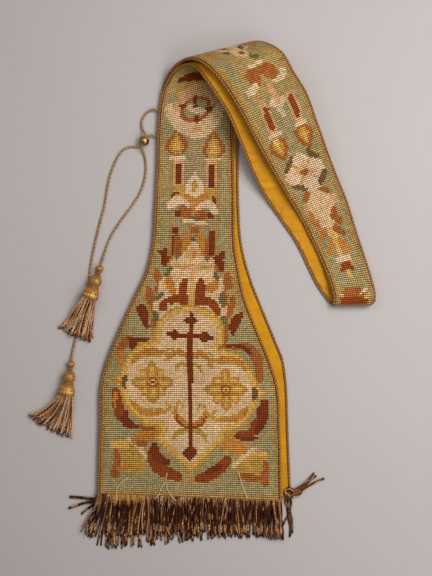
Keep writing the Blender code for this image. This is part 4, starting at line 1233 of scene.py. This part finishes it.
# Creases of the silk: each one's middle up from the hem and out from the middle line, its length
# across, its width along, how deep it is and how far it leans.
Crease = namedtuple("Crease", "up out across along deep lean")
UNDER_CREASES = (
    Crease(8, 108, 26, 7, 0.8, 6), Crease(31, 107, 30, 9, 0.6, -8), Crease(58, 106, 24, 6, 0.9, 4),
    Crease(97, 104, 28, 10, 0.7, 9), Crease(128, 99, 26, 7, 0.9, -5), Crease(166, 90, 30, 8, 0.7, 8),
    Crease(196, 80, 26, 6, 0.9, -7), Crease(228, 68, 24, 9, 0.6, 5), Crease(262, 58, 26, 7, 0.8, 7),
    Crease(41, -104, 26, 8, 0.7, 6), Crease(113, -100, 28, 7, 0.8, -6), Crease(212, -70, 26, 9, 0.7, 5),
)
UPPER_CREASES = (
    Crease(886, -20, 22, 6, 0.8, 5), Crease(868, -21, 26, 8, 0.9, -6), Crease(845, -22, 24, 7, 0.7, 8),
    Crease(821, -23, 28, 6, 1.0, -4), Crease(806, -24, 22, 9, 0.8, 7), Crease(784, -26, 30, 7, 1.0, 6),
    Crease(766, -28, 26, 6, 0.9, -9), Crease(742, -31, 30, 9, 0.8, 5), Crease(727, -32, 26, 6, 1.1, 8),
    Crease(705, -34, 30, 8, 0.8, -6), Crease(689, -36, 26, 6, 1.0, 7), Crease(664, -38, 30, 9, 0.8, 4),
    Crease(641, -40, 26, 7, 0.8, -7), Crease(612, -41, 28, 8, 0.6, 6), Crease(580, -42, 26, 7, 0.6, -5),
)

# A crease's section: its strength, its trough, the ridges beside it and how soon they run out
CREASE_STRENGTH = 2.3
CREASE_TROUGH = 0.9
CREASE_RIDGES = 2.2
CREASE_RUN_OUT = 1.6

# The small puckers by the seams: their height and how far in they reach, and the silk's own lift
PUCKER_HEIGHT = 0.16
PUCKER_REACH = 5
SILK_LIFT = 0.1


def puckers(creases, up, out, low, high):
    """How far the silk stands off: soft troughs with a ridge at each side, and small puckers by
    the seams."""
    off = SILK_LIFT
    for crease in creases:
        right = (out - crease.out) / crease.across
        if abs(right) > 1:
            continue
        square = ((up - crease.up - crease.lean * right) / crease.along) ** 2
        fade = (1 - right * right) ** 2
        section = (CREASE_RIDGES * square - CREASE_TROUGH) * math.exp(-CREASE_RUN_OUT * square)
        off += CREASE_STRENGTH * crease.deep * fade * section
    by_seam = math.exp(-min(out - low, high - out) / PUCKER_REACH)
    # Two waves that drift against each other, so that no pucker is like the next
    wave = math.sin(up / 3.1 + 1.3 * math.sin(up / 17)) + 0.6 * math.sin(up / 5.3 + out / 40)
    return off + PUCKER_HEIGHT * by_seam * wave


def silk_lining(name, half, creases, finish, node):
    """A thin silk wall behind the needlework, creased where it shows."""
    length = half.length - SEAM_GAP / 2
    count = round(length / LINING_STEP)
    bm = bmesh.new()
    cloth = bm.loops.layers.uv.new("cloth")
    for line, row in enumerate(net(bm, LINING_COLUMNS, count)):
        up = length * line / count
        ruling = half.at(up)
        low, high = ruling.seam("inner"), ruling.seam("outer")
        for i, vert in enumerate(row):
            share = i / LINING_COLUMNS
            share -= LINING_CROWDING * math.sin(math.tau * share)
            vert.co = (low + (high - low) * share, up, 0)
    for face in bm.faces:
        for loop in face.loops:
            loop[cloth].uv = loop.vert.co.to_2d()
    front, back = backed(bm)
    for vert in front:
        vert.co = half.at(vert.co.y).spot(vert.co.x, FACE_THICK + SEAM_GAP)
    for vert in back:
        out, up = vert.co.x, vert.co.y
        ruling = half.at(up)
        low, high = ruling.seam("inner"), ruling.seam("outer")
        rim = min(1.0, (out - low) / LINING_RIM, (high - out) / LINING_RIM)
        lift = max(-LINING_SINK, puckers(creases, up, out, low, high)) * rim
        vert.co = ruling.spot(out, LINING_DEPTH + lift)
    return finished(name, bm, finish, [node])


# ---------------------------------------------------------------------------------------------
# Edgings, cords, fringes and tassels

# The sides of a strand's mesh, and of the edging's and the tie cords'
STRAND_SIDES = 6
EDGING_SIDES = 8
TIE_CORD_SIDES = 10

EDGING_STEP = 0.85
EDGING_PITCH = 4.6


def edging(name, half, edge, colours, finish, node):
    """A two-ply cord, one ply dark and one golden, sewn down one long edge."""
    top = half.length - EDGING_STOP
    count = round(top / EDGING_STEP)
    line = [half.at(top * i / count).edging_spot(edge) for i in range(count + 1)]
    bm = bmesh.new()
    twisted(
        bm, evenly(line, EDGING_STEP), EDGING_DIAMETER, TWO_PLY, EDGING_PITCH, EDGING_SIDES,
        lambda share, ply: colours[ply], start=len(name), tips=0.9,
    )
    return finished(name, bm, finish, [node])


# A fringe: its strip's height, how many strands, the heights between which they lie, its seed, the
# shares of its width between which the roots are golden, the strands' thickness, how far its left
# and right ends fan out, and the share of its width that isn't gathered into a knot.
Fringe = namedtuple("Fringe", "height strands lowest highest seed golden thick left right loose")
UNDER_FRINGE = Fringe(1.1, 124, 0.95, 2.3, 7, (0, 0), 2.2, -8, 0.5, 0.95)
UPPER_FRINGE = Fringe(STACK - PLY / 2, 205, 1.4, 5.2, 3, (0.07, 0.26), 2.35, -11, 1, 1.0)
FRINGE_LENGTH = 51.0
FRINGE_STEP = 0.95
FRINGE_PITCH = 4.6

# The woven strip's section, and how much darker than the golden roots it is
STRIP_DEPTH = 3.0
STRIP_THICK = 1.5
STRIP_SHADE = 0.45

# Strands lie in clumps that lean and lie alike.  A few strands stray well out of theirs.
Clump = namedtuple("Clump", "lean lie")
CLUMP_LEAN = 3.4
STRAND_LEAN = 1.8
STRAY_CHANCE = 0.07
STRAY_LEAN = 9
STRAND_SWAY = 1.3

# How much longer the strands are at the fringe's left end, where they lie splayed
LEFT_GAIN = 0.13

# The share of pale strands, and the shares of a strand at which its tip's colour and its dark end
# begin
PALE_STRANDS = 0.12
TIP_FROM = 0.74
DARK_END_FROM = 0.93

# Places down a strand, each with the share of its lean that it has there
STRAND_BENDS = ((0.16, 0.05), (0.4, 0.3), (0.7, 0.68), (1.0, 1.0))

# How a stray strand's second thread lies beside its first, and how far apart they spread
BESIDE = Vector((0.4, 0.9, 0.35))
BESIDE_SPREAD = 1.6
BESIDE_ROOT = 0.5


def strand_dyes(chance, shades, golden):
    """Colours for one fringe strand: mostly dark, some strands pale, with painted highlights in waves
    along it, and golden or pale roots.
    """
    body = mixed(shades["dark"], shades["brown"], chance.random() ** 2)
    if chance.random() > 1 - PALE_STRANDS:
        body = mixed(shades["brown"], shades["tan"], chance.uniform(0.2, 0.8))
    painted_glint = mixed(body, shades["tan"], chance.random() ** 0.7)
    root = mixed(body, shades["tan"], chance.random() ** 2.2)
    end = 0.3 * chance.random()
    if golden:
        root = mixed(shades["brown"], shades["gold"], chance.random() ** 0.6)
        end = 0.24 * chance.uniform(0.5, 1.3)
    waves, shift = chance.uniform(0.6, 1.6), chance.random()
    tip = mixed(body, shades["tan"], chance.random() ** 2.5)

    def dyes(share, ply):
        # Painted highlight: glints in waves along the strand, weaker on the second ply
        painted_shine = max(0.0, math.sin(math.tau * (waves * share + shift))) ** 8
        colour = mixed(lighter(body, 1.0 - 0.3 * ply), painted_glint, painted_shine * (1.0 - 0.5 * ply))
        if share < end:
            return mixed(lighter(root, 1.0 - 0.3 * ply), colour, (share / end) ** 4)
        if share > DARK_END_FROM:
            return mixed(colour, shades["dark"], 0.7)
        if share > TIP_FROM:
            return mixed(colour, tip, 1.0 - 0.4 * ply)
        return colour

    return dyes


def hem_strip(bm, hem, height, colour):
    """The woven strip that a fringe hangs from, just below the hem."""
    dye_of = bm.verts.layers.float_color.new("dye")
    bmesh.ops.create_cube(bm, size=1.0)
    bmesh.ops.subdivide_edges(bm, edges=bm.edges[:], cuts=3, use_grid_fill=True)
    strip = list(bm.verts)
    along = hem.span.normalized()
    turn = Matrix.Rotation(math.atan2(along.y, along.x), 3, "Z")
    middle = (hem.inner + hem.outer) / 2 + along.cross(UP) * (SEAM_GAP + STRIP_DEPTH / 2)
    middle.z = height
    bmesh.ops.scale(bm, vec=(hem.width, STRIP_DEPTH, STRIP_THICK), verts=strip)
    bmesh.ops.rotate(bm, cent=(0, 0, 0), matrix=turn, verts=strip)
    bmesh.ops.translate(bm, vec=middle, verts=strip)
    for vert in strip:
        vert[dye_of] = (*colour, 1.0)


def strand_route(chance, hem, comb, place, clump, clump_left):
    """A strand's route from a place along the strip, down and out with its clump."""
    along = hem.span.normalized()
    out = along.cross(UP)
    far_left, far_right = max(0.0, 1 - 2 * place), max(0.0, 2 * place - 1)
    fan = comb.left * far_left**1.2 + comb.right * far_right**3 + 1.4 * math.sin(9 * place)
    lean = fan + clump.lean + chance.gauss(0, STRAND_LEAN) - (clump_left - 1.5) * 0.7
    if chance.random() < STRAY_CHANCE:
        lean += chance.choice((-STRAY_LEAN, STRAY_LEAN))
    length = FRINGE_LENGTH * chance.uniform(0.88, 1.03) * (1 + LEFT_GAIN * far_left)
    low = comb.lowest + (comb.highest - comb.lowest) * (0.7 * clump.lie + 0.3 * chance.random())
    root = hem.inner.lerp(hem.outer, place) + out * (SEAM_GAP + 0.8)
    root.z = comb.height + 0.9 + chance.uniform(-0.2, 0.3)
    sway = chance.gauss(0, STRAND_SWAY)
    down = Vector((0, -1, 0)).lerp(out, 0.6).normalized()
    points = [root]
    for share, swing in STRAND_BENDS:
        point = root + down * (length - STRIP_DEPTH) * share
        point += along * (lean * swing + sway * math.sin(math.pi * share))
        point.z = root.z + (low - root.z) * min(1.0, 1.7 * share)
        points.append(point)
    return points


def fringe(name, half, comb, stray_routes, shades, finish, node):
    """A bullion fringe: a woven strip below the hem, and twisted strands that lie as they fell."""
    chance = random.Random(comb.seed)
    hem = half.at(0.0)
    bm = bmesh.new()
    hem_strip(bm, hem, comb.height, lighter(shades["gold"], STRIP_SHADE))
    clump_left = 0
    for i in range(comb.strands):
        place = comb.loose * (i + 0.5) / comb.strands
        if not clump_left:
            clump_left = chance.randint(2, 5)
            clump = Clump(chance.gauss(0, CLUMP_LEAN), chance.random())
        clump_left -= 1
        route = strand_route(chance, hem, comb, place, clump, clump_left)
        twisted(
            bm, smooth_route(route, FRINGE_STEP), comb.thick * chance.uniform(0.86, 1.08), TWO_PLY,
            FRINGE_PITCH, STRAND_SIDES,
            strand_dyes(chance, shades, comb.golden[0] < place < comb.golden[1]),
            start=chance.uniform(0, math.tau),
        )
    for route in stray_routes:
        for beside in (Vector(), BESIDE):
            points = [
                Vector(point) + beside * (BESIDE_SPREAD if k else BESIDE_ROOT)
                for k, point in enumerate(route)
            ]
            twisted(
                bm, smooth_route(points, FRINGE_STEP), comb.thick * 1.1, TWO_PLY, FRINGE_PITCH,
                STRAND_SIDES, strand_dyes(chance, shades, False), start=chance.uniform(0, math.tau),
            )
    return finished(name, bm, finish, [node])


TIE_CORD_STEP = 0.6
TIE_CORD_PITCH = 5.2


def tie_cord(name, route, diameter, colours, finish, node):
    """A three-ply cord along its route.  Returns it and the line that it follows."""
    line = smooth_route(route, TIE_CORD_STEP)
    bm = bmesh.new()
    twisted(
        bm, line, diameter, THREE_PLY, TIE_CORD_PITCH, TIE_CORD_SIDES,
        lambda share, ply: colours[ply], tips=0.9,
    )
    return finished(name, bm, finish, [node]), line


def bead_rim(end):
    """Half a round of a rolled rim, at the bead's front end (1) or its back end (-1)."""
    shoulder = BEAD_LENGTH / 2 - BEAD_RIM_LENGTH
    return [
        (
            BEAD_BORE_RADIUS + BEAD_RIM_RADIUS * (1 - end * math.cos(angle)),
            end * (shoulder + BEAD_RIM_LENGTH * math.sin(angle)),
        )
        for angle in (math.radians(turn) for turn in range(0, 181, 30))
    ]


def slider_bead(name, finish, node):
    """A short brass barrel with rolled rims round both cords."""
    shoulder = BEAD_LENGTH / 2 - BEAD_RIM_LENGTH
    neck = BEAD_BORE_RADIUS + 2 * BEAD_RIM_RADIUS
    belly = []
    for step in range(1, BEAD_BELLY_STEPS):
        share = step / BEAD_BELLY_STEPS
        swell = math.sin(math.pi * share) ** 0.7
        belly.append((neck + (BEAD_RADIUS - neck) * swell, shoulder * (1 - 2 * share)))
    profile = [(BEAD_BORE_RADIUS, -shoulder), *bead_rim(1), *belly, *bead_rim(-1)]
    bm = bmesh.new()
    verts = [bm.verts.new((along, radius, 0)) for radius, along in profile]
    edges = [bm.edges.new((a, b)) for a, b in zip(verts, verts[1:] + verts[:1])]
    bmesh.ops.spin(
        bm, geom=verts + edges, cent=(0, 0, 0), axis=(1, 0, 0), angle=math.tau, steps=BEAD_SIDES,
        use_merge=True,
    )
    bmesh.ops.remove_doubles(bm, verts=bm.verts, dist=WELD)
    heading = Matrix.Rotation(BEAD_HEADING, 3, "Z")
    bmesh.ops.rotate(bm, cent=(0, 0, 0), matrix=heading, verts=bm.verts)
    bmesh.ops.translate(bm, vec=BEAD_CENTRE, verts=bm.verts)
    return finished(name, bm, finish, [node])


def skirt_dyes(chance, shades):
    """Colours for one strand of a tassel's skirt, with painted highlights in waves along it and dark at
    its tip.
    """
    body = mixed(shades["dark"], shades["skirt"], chance.random() ** 1.5)
    if chance.random() < BRIGHT_STRANDS:
        body = mixed(shades["skirt"], shades["light"], chance.uniform(0.2, 0.8))
    painted_highlight = mixed(shades["skirt"], shades["light"], chance.uniform(0.4, 1.0))
    waves, shift = chance.uniform(0.7, 1.8), chance.random()

    def dyes(share, ply):
        # Painted highlight in waves along the strand, weaker on the second ply
        painted_shine = max(0.0, math.sin(math.tau * (waves * share + shift))) ** 1.5
        colour = mixed(body, painted_highlight, painted_shine if ply == 0 else 0.5 * painted_shine)
        if share < STRAND_END:
            return mixed(shades["head"], colour, share / STRAND_END)
        if share > 1 - STRAND_END:
            return mixed(colour, shades["dark"], 0.9 * (share - 1 + STRAND_END) / STRAND_END)
        return colour

    return dyes


def cord_below(point, cord):
    """1 over a cord and 0 clear of it."""
    nearest = min(math.dist(point.to_2d(), knot.to_2d()) for knot in cord)
    return max(0.0, min(1.0, (CORD_CLEAR - nearest) / CORD_FADE))


class LaidTassel:
    """A tassel's place on the table: its top, its heading, and its side, square to that."""

    def __init__(self, lie, lift):
        angle = math.radians(lie.heading)
        self.top = Vector((*lie.top, 0))
        self.heading = Vector((math.cos(angle), math.sin(angle), 0))
        self.side = self.heading.cross(UP)
        self.lift = lift

    def ring(self, along, radius):
        """The middle and half the height of a ring.  Rings flatten towards the skirt, and lift
        where a cord is under it."""
        share = min(1.0, along / TASSEL_HEAD_LENGTH)
        high = radius * (1 - (1 - TASSEL_SQUASH) * share)
        height = high + TASSEL_GAP + self.lift * share
        return self.top + self.heading * along + UP * height, high

    def round_ring(self, along, radius, around, grow=1.0):
        """A point on a ring, at an angle around it."""
        centre, high = self.ring(along, radius)
        across = self.side * math.cos(around) * radius
        return centre + (across + UP * math.sin(around) * high) * grow


def tassel_head(bm, laid, colour):
    """A turned head wound with thread, whose crossing turns make small ribs.  The ribs carry a painted
    highlight, and painted shade lies between them and in the waists.
    """
    dye_of = bm.verts.layers.float_color.new("dye")
    rings = []
    for a, b in zip(TASSEL_HEAD, TASSEL_HEAD[1:]):
        rings += [a, Ring((a.along + b.along) / 2, (a.radius + b.radius) / 2)]
    rings += [TASSEL_HEAD[-1], TASSEL_HEAD_CLOSE]
    for ring, verts in zip(rings, rolled_net(bm, TASSEL_SIDES, len(rings))):
        in_waist = any(low < ring.along < high for low, high in WAISTS)
        for i, vert in enumerate(verts):
            around = math.tau * i / TASSEL_SIDES
            turns = around * TASSEL_RIBS / 2
            rib = math.cos(turns + ring.along * 1.3) * math.cos(turns - ring.along * 1.3)
            grow = 1 + RIB_HEIGHT * rib * min(1.0, ring.along / 4)
            vert.co = laid.round_ring(ring.along, ring.radius, around, grow)
            # Painted highlight on the ribs, and painted shade between them and in the waists
            painted_rib_light_and_shade = (0.74 + 0.62 * rib) * (WAIST_PAINTED_SHADE if in_waist else 1.0)
            vert[dye_of] = (*lighter(colour, painted_rib_light_and_shade), 1.0)


def collar(bm, laid, ring, colour):
    """A twisted cord round a tassel's waist."""
    loop = [
        laid.round_ring(ring.along, ring.radius, math.tau * k / COLLAR_STEPS)
        for k in range(COLLAR_STEPS)
    ]
    twisted(
        bm, loop, ring.thick, TWO_PLY, COLLAR_PITCH, STRAND_SIDES,
        lambda share, ply: lighter(colour, 1.15 - 0.35 * ply), tips=1.0,
    )


def skirt_route(chance, lie, laid, layer, share, cord):
    """The route of a strand of the skirt, from its share of the width of the skirt's mouth."""
    mouth, mouth_high = laid.ring(TASSEL_HEAD_LENGTH, SKIRT_MOUTH_RADIUS)
    across = (2 * share - 1) * 0.9
    up = (layer.spread if abs(across) < 0.8 else layer.spread * 0.4) * mouth_high
    root = mouth - laid.heading * 1.2 - laid.side * across * 9.0 + UP * up
    turn = lie.heading - lie.fan_left * (1 - share) + lie.fan_right * share
    turn = math.radians(turn + chance.gauss(0, 3.0))
    length = lie.left_length + (lie.right_length - lie.left_length) * share
    length *= chance.uniform(0.88, 1.02)
    way = Vector((math.cos(turn), math.sin(turn), 0))
    sway = laid.side * chance.gauss(0, STRAND_SWAY)
    points = [root]
    for reach in (0.2, 0.45, 0.72, 1.0):
        point = root + laid.heading.lerp(way, 0.45 + 0.55 * reach) * length * reach
        point += sway * math.sin(math.pi * reach)
        low = 0.95 + layer.rise + chance.uniform(0, 0.5) + laid.lift * cord_below(point, cord)
        point.z = root.z + (low - root.z) * min(1.0, 1.45 * reach)
        points.append(point)
    return points


def tassel(name, lie, lift, shades, finish, node):
    """A tassel lying on the table: a head, a collar at each waist, and a skirt of twisted strands
    that lifts where it lies over the long cord."""
    chance = random.Random(lie.seed)
    cord = smooth_route(LONG_ROUTE, CORD_CHECK_STEP)
    laid = LaidTassel(lie, lift)
    bm = bmesh.new()
    tassel_head(bm, laid, shades["head"])
    for ring in COLLARS:
        collar(bm, laid, ring, shades["head"])
    for layer in SKIRT_LAYERS:
        for i in range(layer.count):
            share = (i + chance.uniform(0.15, 0.85)) / layer.count
            route = skirt_route(chance, lie, laid, layer, share, cord)
            twisted(
                bm, smooth_route(route, SKIRT_STEP), chance.uniform(1.7, 2.3), TWO_PLY, SKIRT_PITCH,
                STRAND_SIDES, skirt_dyes(chance, shades), start=chance.uniform(0, math.tau),
            )
    return finished(name, bm, finish, [node])


# Loose ends of thread on the spade
LOOSE_THREADS = (
    ((-130.7, -226.6, 7.8), (-138, -231, 8.2), (-144.4, -239, 8.1), (-144.2, -254.9, 7.2)),
    ((-82.7, -220.5, 7.8), (-84.2, -230, 8.2), (-83.0, -239, 8.2), (-78, -248, 8.0),
     (-71.6, -254.9, 7.2)),
    ((-85.1, -232.8, 7.8), (-90, -239, 8.3), (-92, -245, 8.1), (-97.4, -252.5, 7.6)),
    ((4.8, -218, 7.8), (7, -226, 8.3), (9.9, -236, 8.1), (17.1, -252.5, 7.4)),
)
LOOSE_THREAD_DIAMETER = 1.5
LOOSE_THREAD_STEP = 0.7
LOOSE_THREAD_PITCH = 2.4


def loose_threads(name, colour, finish):
    """Ends of thread that have worked loose, which stand for no solid."""
    bm = bmesh.new()
    for route in LOOSE_THREADS:
        twisted(
            bm, smooth_route(route, LOOSE_THREAD_STEP), LOOSE_THREAD_DIAMETER, TWO_PLY,
            LOOSE_THREAD_PITCH, STRAND_SIDES, lambda share, ply: colour,
        )
    return finished(name, bm, finish, [])


# ---------------------------------------------------------------------------------------------
# Settings, operators and the panel

# The lamps, in metres: where each stands, what it points at, its size and its share of the strength
Lamp = namedtuple("Lamp", "name place aim size share")
LAMPS = (
    Lamp("broad lamp", (0.55, 0.42, 0.95), (0.3, -0.05, 0.0), 0.6, 1.0),
    Lamp("near lamp", (0.6, -0.4, 1.0), (0.2, -0.15, 0.0), 0.7, 0.5),
    Lamp("far lamp", (-0.45, 0.45, 0.95), (-0.15, 0.2, 0.0), 0.8, 0.24),
)

# The camera's place over the table, in metres, and its lens and sensor in millimetres
CAMERA_SPOT = (-0.0067, 0.0119)
CAMERA_LENS = 60.49
CAMERA_SENSOR = 36.0

# Half the table's width and its top's height, in metres
TABLE_REACH = 4.0
TABLE_TOP = -0.0002


def length_setting(name, description, metres):
    """A length, stored in metres."""
    return FloatProperty(
        name=name, description=description, default=metres, min=0.0, unit="LENGTH",
    )


def colour_setting(name, red, green, blue):
    """A colour, given as it looks on a screen."""
    return FloatVectorProperty(
        name=name, description=name + " colour", default=dye(red, green, blue), size=3,
        min=0.0, max=1.0, subtype="COLOR",
    )


class StoleSettings(PropertyGroup):
    stitch: length_setting("Stitch", "Width of one stitch of the needlework", 0.00254)
    cord: length_setting("Tie cord", "Thickness of the tie cords", 0.003)
    camera_height: length_setting("Camera height", "Height of the camera above the table", 1.2)
    lamp: FloatProperty(name="Lamp", description="Strength of the soft lamp", default=9.2, min=0.0)
    fill: FloatProperty(name="Fill", description="Light from all round", default=0.16, min=0.0)
    sage: colour_setting("Sage ground", 155, 139, 96)
    olive_ground: colour_setting("Olive ground", 176, 141, 80)
    moss: colour_setting("Moss ground", 162, 136, 94)
    ochre: colour_setting("Ochre", 185, 139, 61)
    border: colour_setting("Border", 168, 127, 68)
    straw: colour_setting("Straw", 215, 163, 82)
    cream: colour_setting("Cream", 215, 176, 130)
    tan: colour_setting("Tan", 204, 154, 104)
    white: colour_setting("White", 215, 180, 142)
    amber: colour_setting("Amber", 188, 122, 52)
    rust: colour_setting("Rust", 160, 91, 40)
    russet: colour_setting("Russet", 140, 65, 22)
    oxblood: colour_setting("Oxblood", 117, 51, 19)
    olive: colour_setting("Olive", 112, 80, 42)
    slate: colour_setting("Slate", 106, 98, 64)
    silk: colour_setting("Lining silk", 202, 136, 14)
    edging_dark: colour_setting("Dark edging ply", 148, 90, 46)
    edging_gold: colour_setting("Golden edging ply", 180, 131, 70)
    fringe_dark: colour_setting("Dark fringe", 54, 20, 7)
    fringe_brown: colour_setting("Brown fringe", 112, 54, 24)
    # Tan fringe: pale strands, roots and tips, and the colour of the painted highlights along the
    # fringe strands
    fringe_tan: colour_setting("Tan fringe", 244, 184, 126)
    fringe_gold: colour_setting("Golden fringe roots", 240, 184, 100)
    cord_light: colour_setting("Light tie ply", 192, 152, 104)
    cord_dark: colour_setting("Dark tie ply", 152, 110, 68)
    tassel_head: colour_setting("Tassel head", 206, 148, 80)
    tassel_skirt: colour_setting("Tassel skirt", 226, 138, 76)
    tassel_dark: colour_setting("Dark tassel skirt", 80, 36, 12)
    # Light tassel skirt: bright strands, and the colour of the painted highlights along the skirt
    # strands
    tassel_light: colour_setting("Light tassel skirt", 255, 226, 180)
    brass: colour_setting("Brass", 186, 138, 80)
    loose_thread: colour_setting("Loose thread", 244, 206, 166)
    table: colour_setting("Table", 188, 180, 177)


NEEDLE_DYES = (
    "sage", "olive_ground", "moss", "ochre", "border", "straw", "tan", "cream", "white", "amber",
    "rust", "russet", "oxblood", "olive", "slate",
)


def shades_of(settings, kind, names):
    """The colours of one kind of thread, by their names."""
    return {name: tuple(getattr(settings, kind + "_" + name)) for name in names}


def laid_halves():
    """Both halves; side says which way the stitches face: down (1) or up (-1) on the front."""
    return {"under": LaidHalf(UNDER_HALF, 1), "upper": LaidHalf(UPPER_HALF, -1)}


def finish_named(name, maker, *details):
    """A finish of the scene, made the first time that it's asked for."""
    return bpy.data.materials.get(name) or maker(*details)


def thread_named(thread):
    return finish_named(thread.name, thread_finish, thread)


class STOLE_OT_stage(Operator):
    """Sets the table, the light and the camera over it"""

    bl_idname = "stole.stage"
    bl_label = "Table, Light and Camera"

    def execute(self, context):
        settings = context.scene.stole
        bm = bmesh.new()
        bmesh.ops.create_grid(bm, x_segments=1, y_segments=1, size=TABLE_REACH)
        bmesh.ops.translate(bm, vec=(0, 0, TABLE_TOP), verts=bm.verts)
        mesh = bpy.data.meshes.new("table")
        bm.to_mesh(mesh)
        bm.free()
        table = bpy.data.objects.new("table", mesh)
        mesh.materials.append(table_finish(settings.table))
        context.scene.collection.objects.link(table)
        for lamp in LAMPS:
            light = bpy.data.lights.new(lamp.name, "AREA")
            light.size = lamp.size
            light.energy = settings.lamp * lamp.share
            stand = bpy.data.objects.new(lamp.name, light)
            stand.location = lamp.place
            stand.rotation_mode = "QUATERNION"
            away = Vector(lamp.place) - Vector(lamp.aim)
            stand.rotation_quaternion = away.to_track_quat("Z", "Y")
            context.scene.collection.objects.link(stand)
        world = bpy.data.worlds.new("studio")
        world.use_nodes = True
        sky = world.node_tree.nodes["Background"]
        sky.inputs["Color"].default_value = (1.0, 1.0, 1.0, 1.0)
        sky.inputs["Strength"].default_value = settings.fill
        context.scene.world = world
        eye = bpy.data.cameras.new("camera")
        eye.sensor_width = CAMERA_SENSOR
        eye.lens = CAMERA_LENS
        camera = bpy.data.objects.new("camera", eye)
        camera.location = (*CAMERA_SPOT, settings.camera_height)
        context.scene.collection.objects.link(camera)
        context.scene.camera = camera
        context.scene.view_settings.view_transform = "Standard"
        return {"FINISHED"}


class STOLE_OT_tie_cords(Operator):
    """Lays both tie cords and puts the brass slider bead round them"""

    bl_idname = "stole.tie_cords"
    bl_label = "Tie Cords and Bead"

    def execute(self, context):
        settings = context.scene.stole
        finish = thread_named(TIE_THREAD)
        light, dark = tuple(settings.cord_light), tuple(settings.cord_dark)
        diameter = settings.cord / MM
        for which, route in (("long", LONG_ROUTE), ("short", SHORT_ROUTE)):
            piece, line = tie_cord(
                "twisted_cord_" + which, route, diameter, (light, dark, light), finish,
                "tie_cord_" + which,
            )
        slider_bead("brass_bead", brass_finish(tuple(settings.brass)), "slider_bead")
        return {"FINISHED"}


class STOLE_OT_tassels(Operator):
    """Makes the tassels at the ends of both tie cords"""

    bl_idname = "stole.tassels"
    bl_label = "Tassels"

    def execute(self, context):
        settings = context.scene.stole
        finish = thread_named(TASSEL_THREAD)
        shades = shades_of(settings, "tassel", ("head", "skirt", "dark", "light"))
        lift = settings.cord / MM
        tassel("wound_tassel_short", TASSEL_SHORT, lift, shades, finish, "tassel_short")
        tassel("wound_tassel_long", TASSEL_LONG, 0.0, shades, finish, "tassel_long")
        return {"FINISHED"}


class STOLE_OT_faces(Operator):
    """Stitches the needlework face of both halves from the chart"""

    bl_idname = "stole.faces"
    bl_label = "Needlework Faces"

    def execute(self, context):
        settings = context.scene.stole
        chart = stitch_chart()
        dyes = {name: tuple(getattr(settings, name)) for name in NEEDLE_DYES}
        finish = finish_named("Wool needlework", wool_finish)
        for which, half in laid_halves().items():
            piece = needlework(
                "stitched_face_" + which, half, chart, dyes, settings.stitch / MM, finish,
                "face_" + which,
            )
            if not piece.data.polygons:
                raise RuntimeError("The needlework has no stitches")
        return {"FINISHED"}


class STOLE_OT_linings(Operator):
    """Lines both halves with creased silk"""

    bl_idname = "stole.linings"
    bl_label = "Silk Linings"

    def execute(self, context):
        finish = finish_named("Satin lining", silk_finish, tuple(context.scene.stole.silk))
        creases = {"under": UNDER_CREASES, "upper": UPPER_CREASES}
        for which, half in laid_halves().items():
            silk_lining("silk_lining_" + which, half, creases[which], finish, "lining_" + which)
        return {"FINISHED"}


class STOLE_OT_edgings(Operator):
    """Sews a twisted edging down both long edges of each half"""

    bl_idname = "stole.edgings"
    bl_label = "Twisted Edgings"

    def execute(self, context):
        settings = context.scene.stole
        finish = thread_named(EDGING_THREAD)
        colours = (tuple(settings.edging_dark), tuple(settings.edging_gold))
        for which, half in laid_halves().items():
            for edge in ("inner", "outer"):
                name = "_".join(("edging", which, edge))
                edging("twisted_" + name, half, edge, colours, finish, name)
        return {"FINISHED"}


class STOLE_OT_fringes(Operator):
    """Hangs a bullion fringe from both hems"""

    bl_idname = "stole.fringes"
    bl_label = "Bullion Fringes"

    def execute(self, context):
        settings = context.scene.stole
        finish = thread_named(FRINGE_THREAD)
        shades = shades_of(settings, "fringe", ("dark", "brown", "tan", "gold"))
        combs = {"under": (UNDER_FRINGE, CORNER_TUFT), "upper": (UPPER_FRINGE, UPPER_STRAYS)}
        for which, half in laid_halves().items():
            fringe("bullion_fringe_" + which, half, *combs[which], shades, finish, "fringe_" + which)
        return {"FINISHED"}


class STOLE_OT_threads(Operator):
    """Lays the loose ends of thread on the spade"""

    bl_idname = "stole.threads"
    bl_label = "Loose Threads"

    def execute(self, context):
        loose_dye = tuple(context.scene.stole.loose_thread)
        loose_threads("loose_threads", loose_dye, thread_named(LOOSE_THREAD))
        return {"FINISHED"}


class STOLE_PT_maker(Panel):
    """Lists the steps of making the stole"""

    bl_label = "Stole"
    bl_idname = "STOLE_PT_maker"
    bl_space_type = "VIEW_3D"
    bl_region_type = "UI"
    bl_category = "Stole"

    def draw(self, context):
        for step in STEPS:
            self.layout.operator(step.bl_idname)
        settings = context.scene.stole
        for name in StoleSettings.__annotations__:
            self.layout.prop(settings, name)


STEPS = (
    STOLE_OT_stage, STOLE_OT_tie_cords, STOLE_OT_tassels, STOLE_OT_faces, STOLE_OT_linings,
    STOLE_OT_edgings, STOLE_OT_fringes, STOLE_OT_threads,
)
CLASSES = (StoleSettings, *STEPS, STOLE_PT_maker)


def register():
    for made in CLASSES:
        bpy.utils.register_class(made)
    bpy.types.Scene.stole = PointerProperty(type=StoleSettings)


def unregister():
    del bpy.types.Scene.stole
    for made in reversed(CLASSES):
        bpy.utils.unregister_class(made)


def main():
    register()
    bpy.ops.stole.stage()
    bpy.ops.stole.tie_cords()
    bpy.ops.stole.tassels()
    bpy.ops.stole.faces()
    bpy.ops.stole.linings()
    bpy.ops.stole.edgings()
    bpy.ops.stole.fringes()
    bpy.ops.stole.threads()


if __name__ == "__main__":
    main()
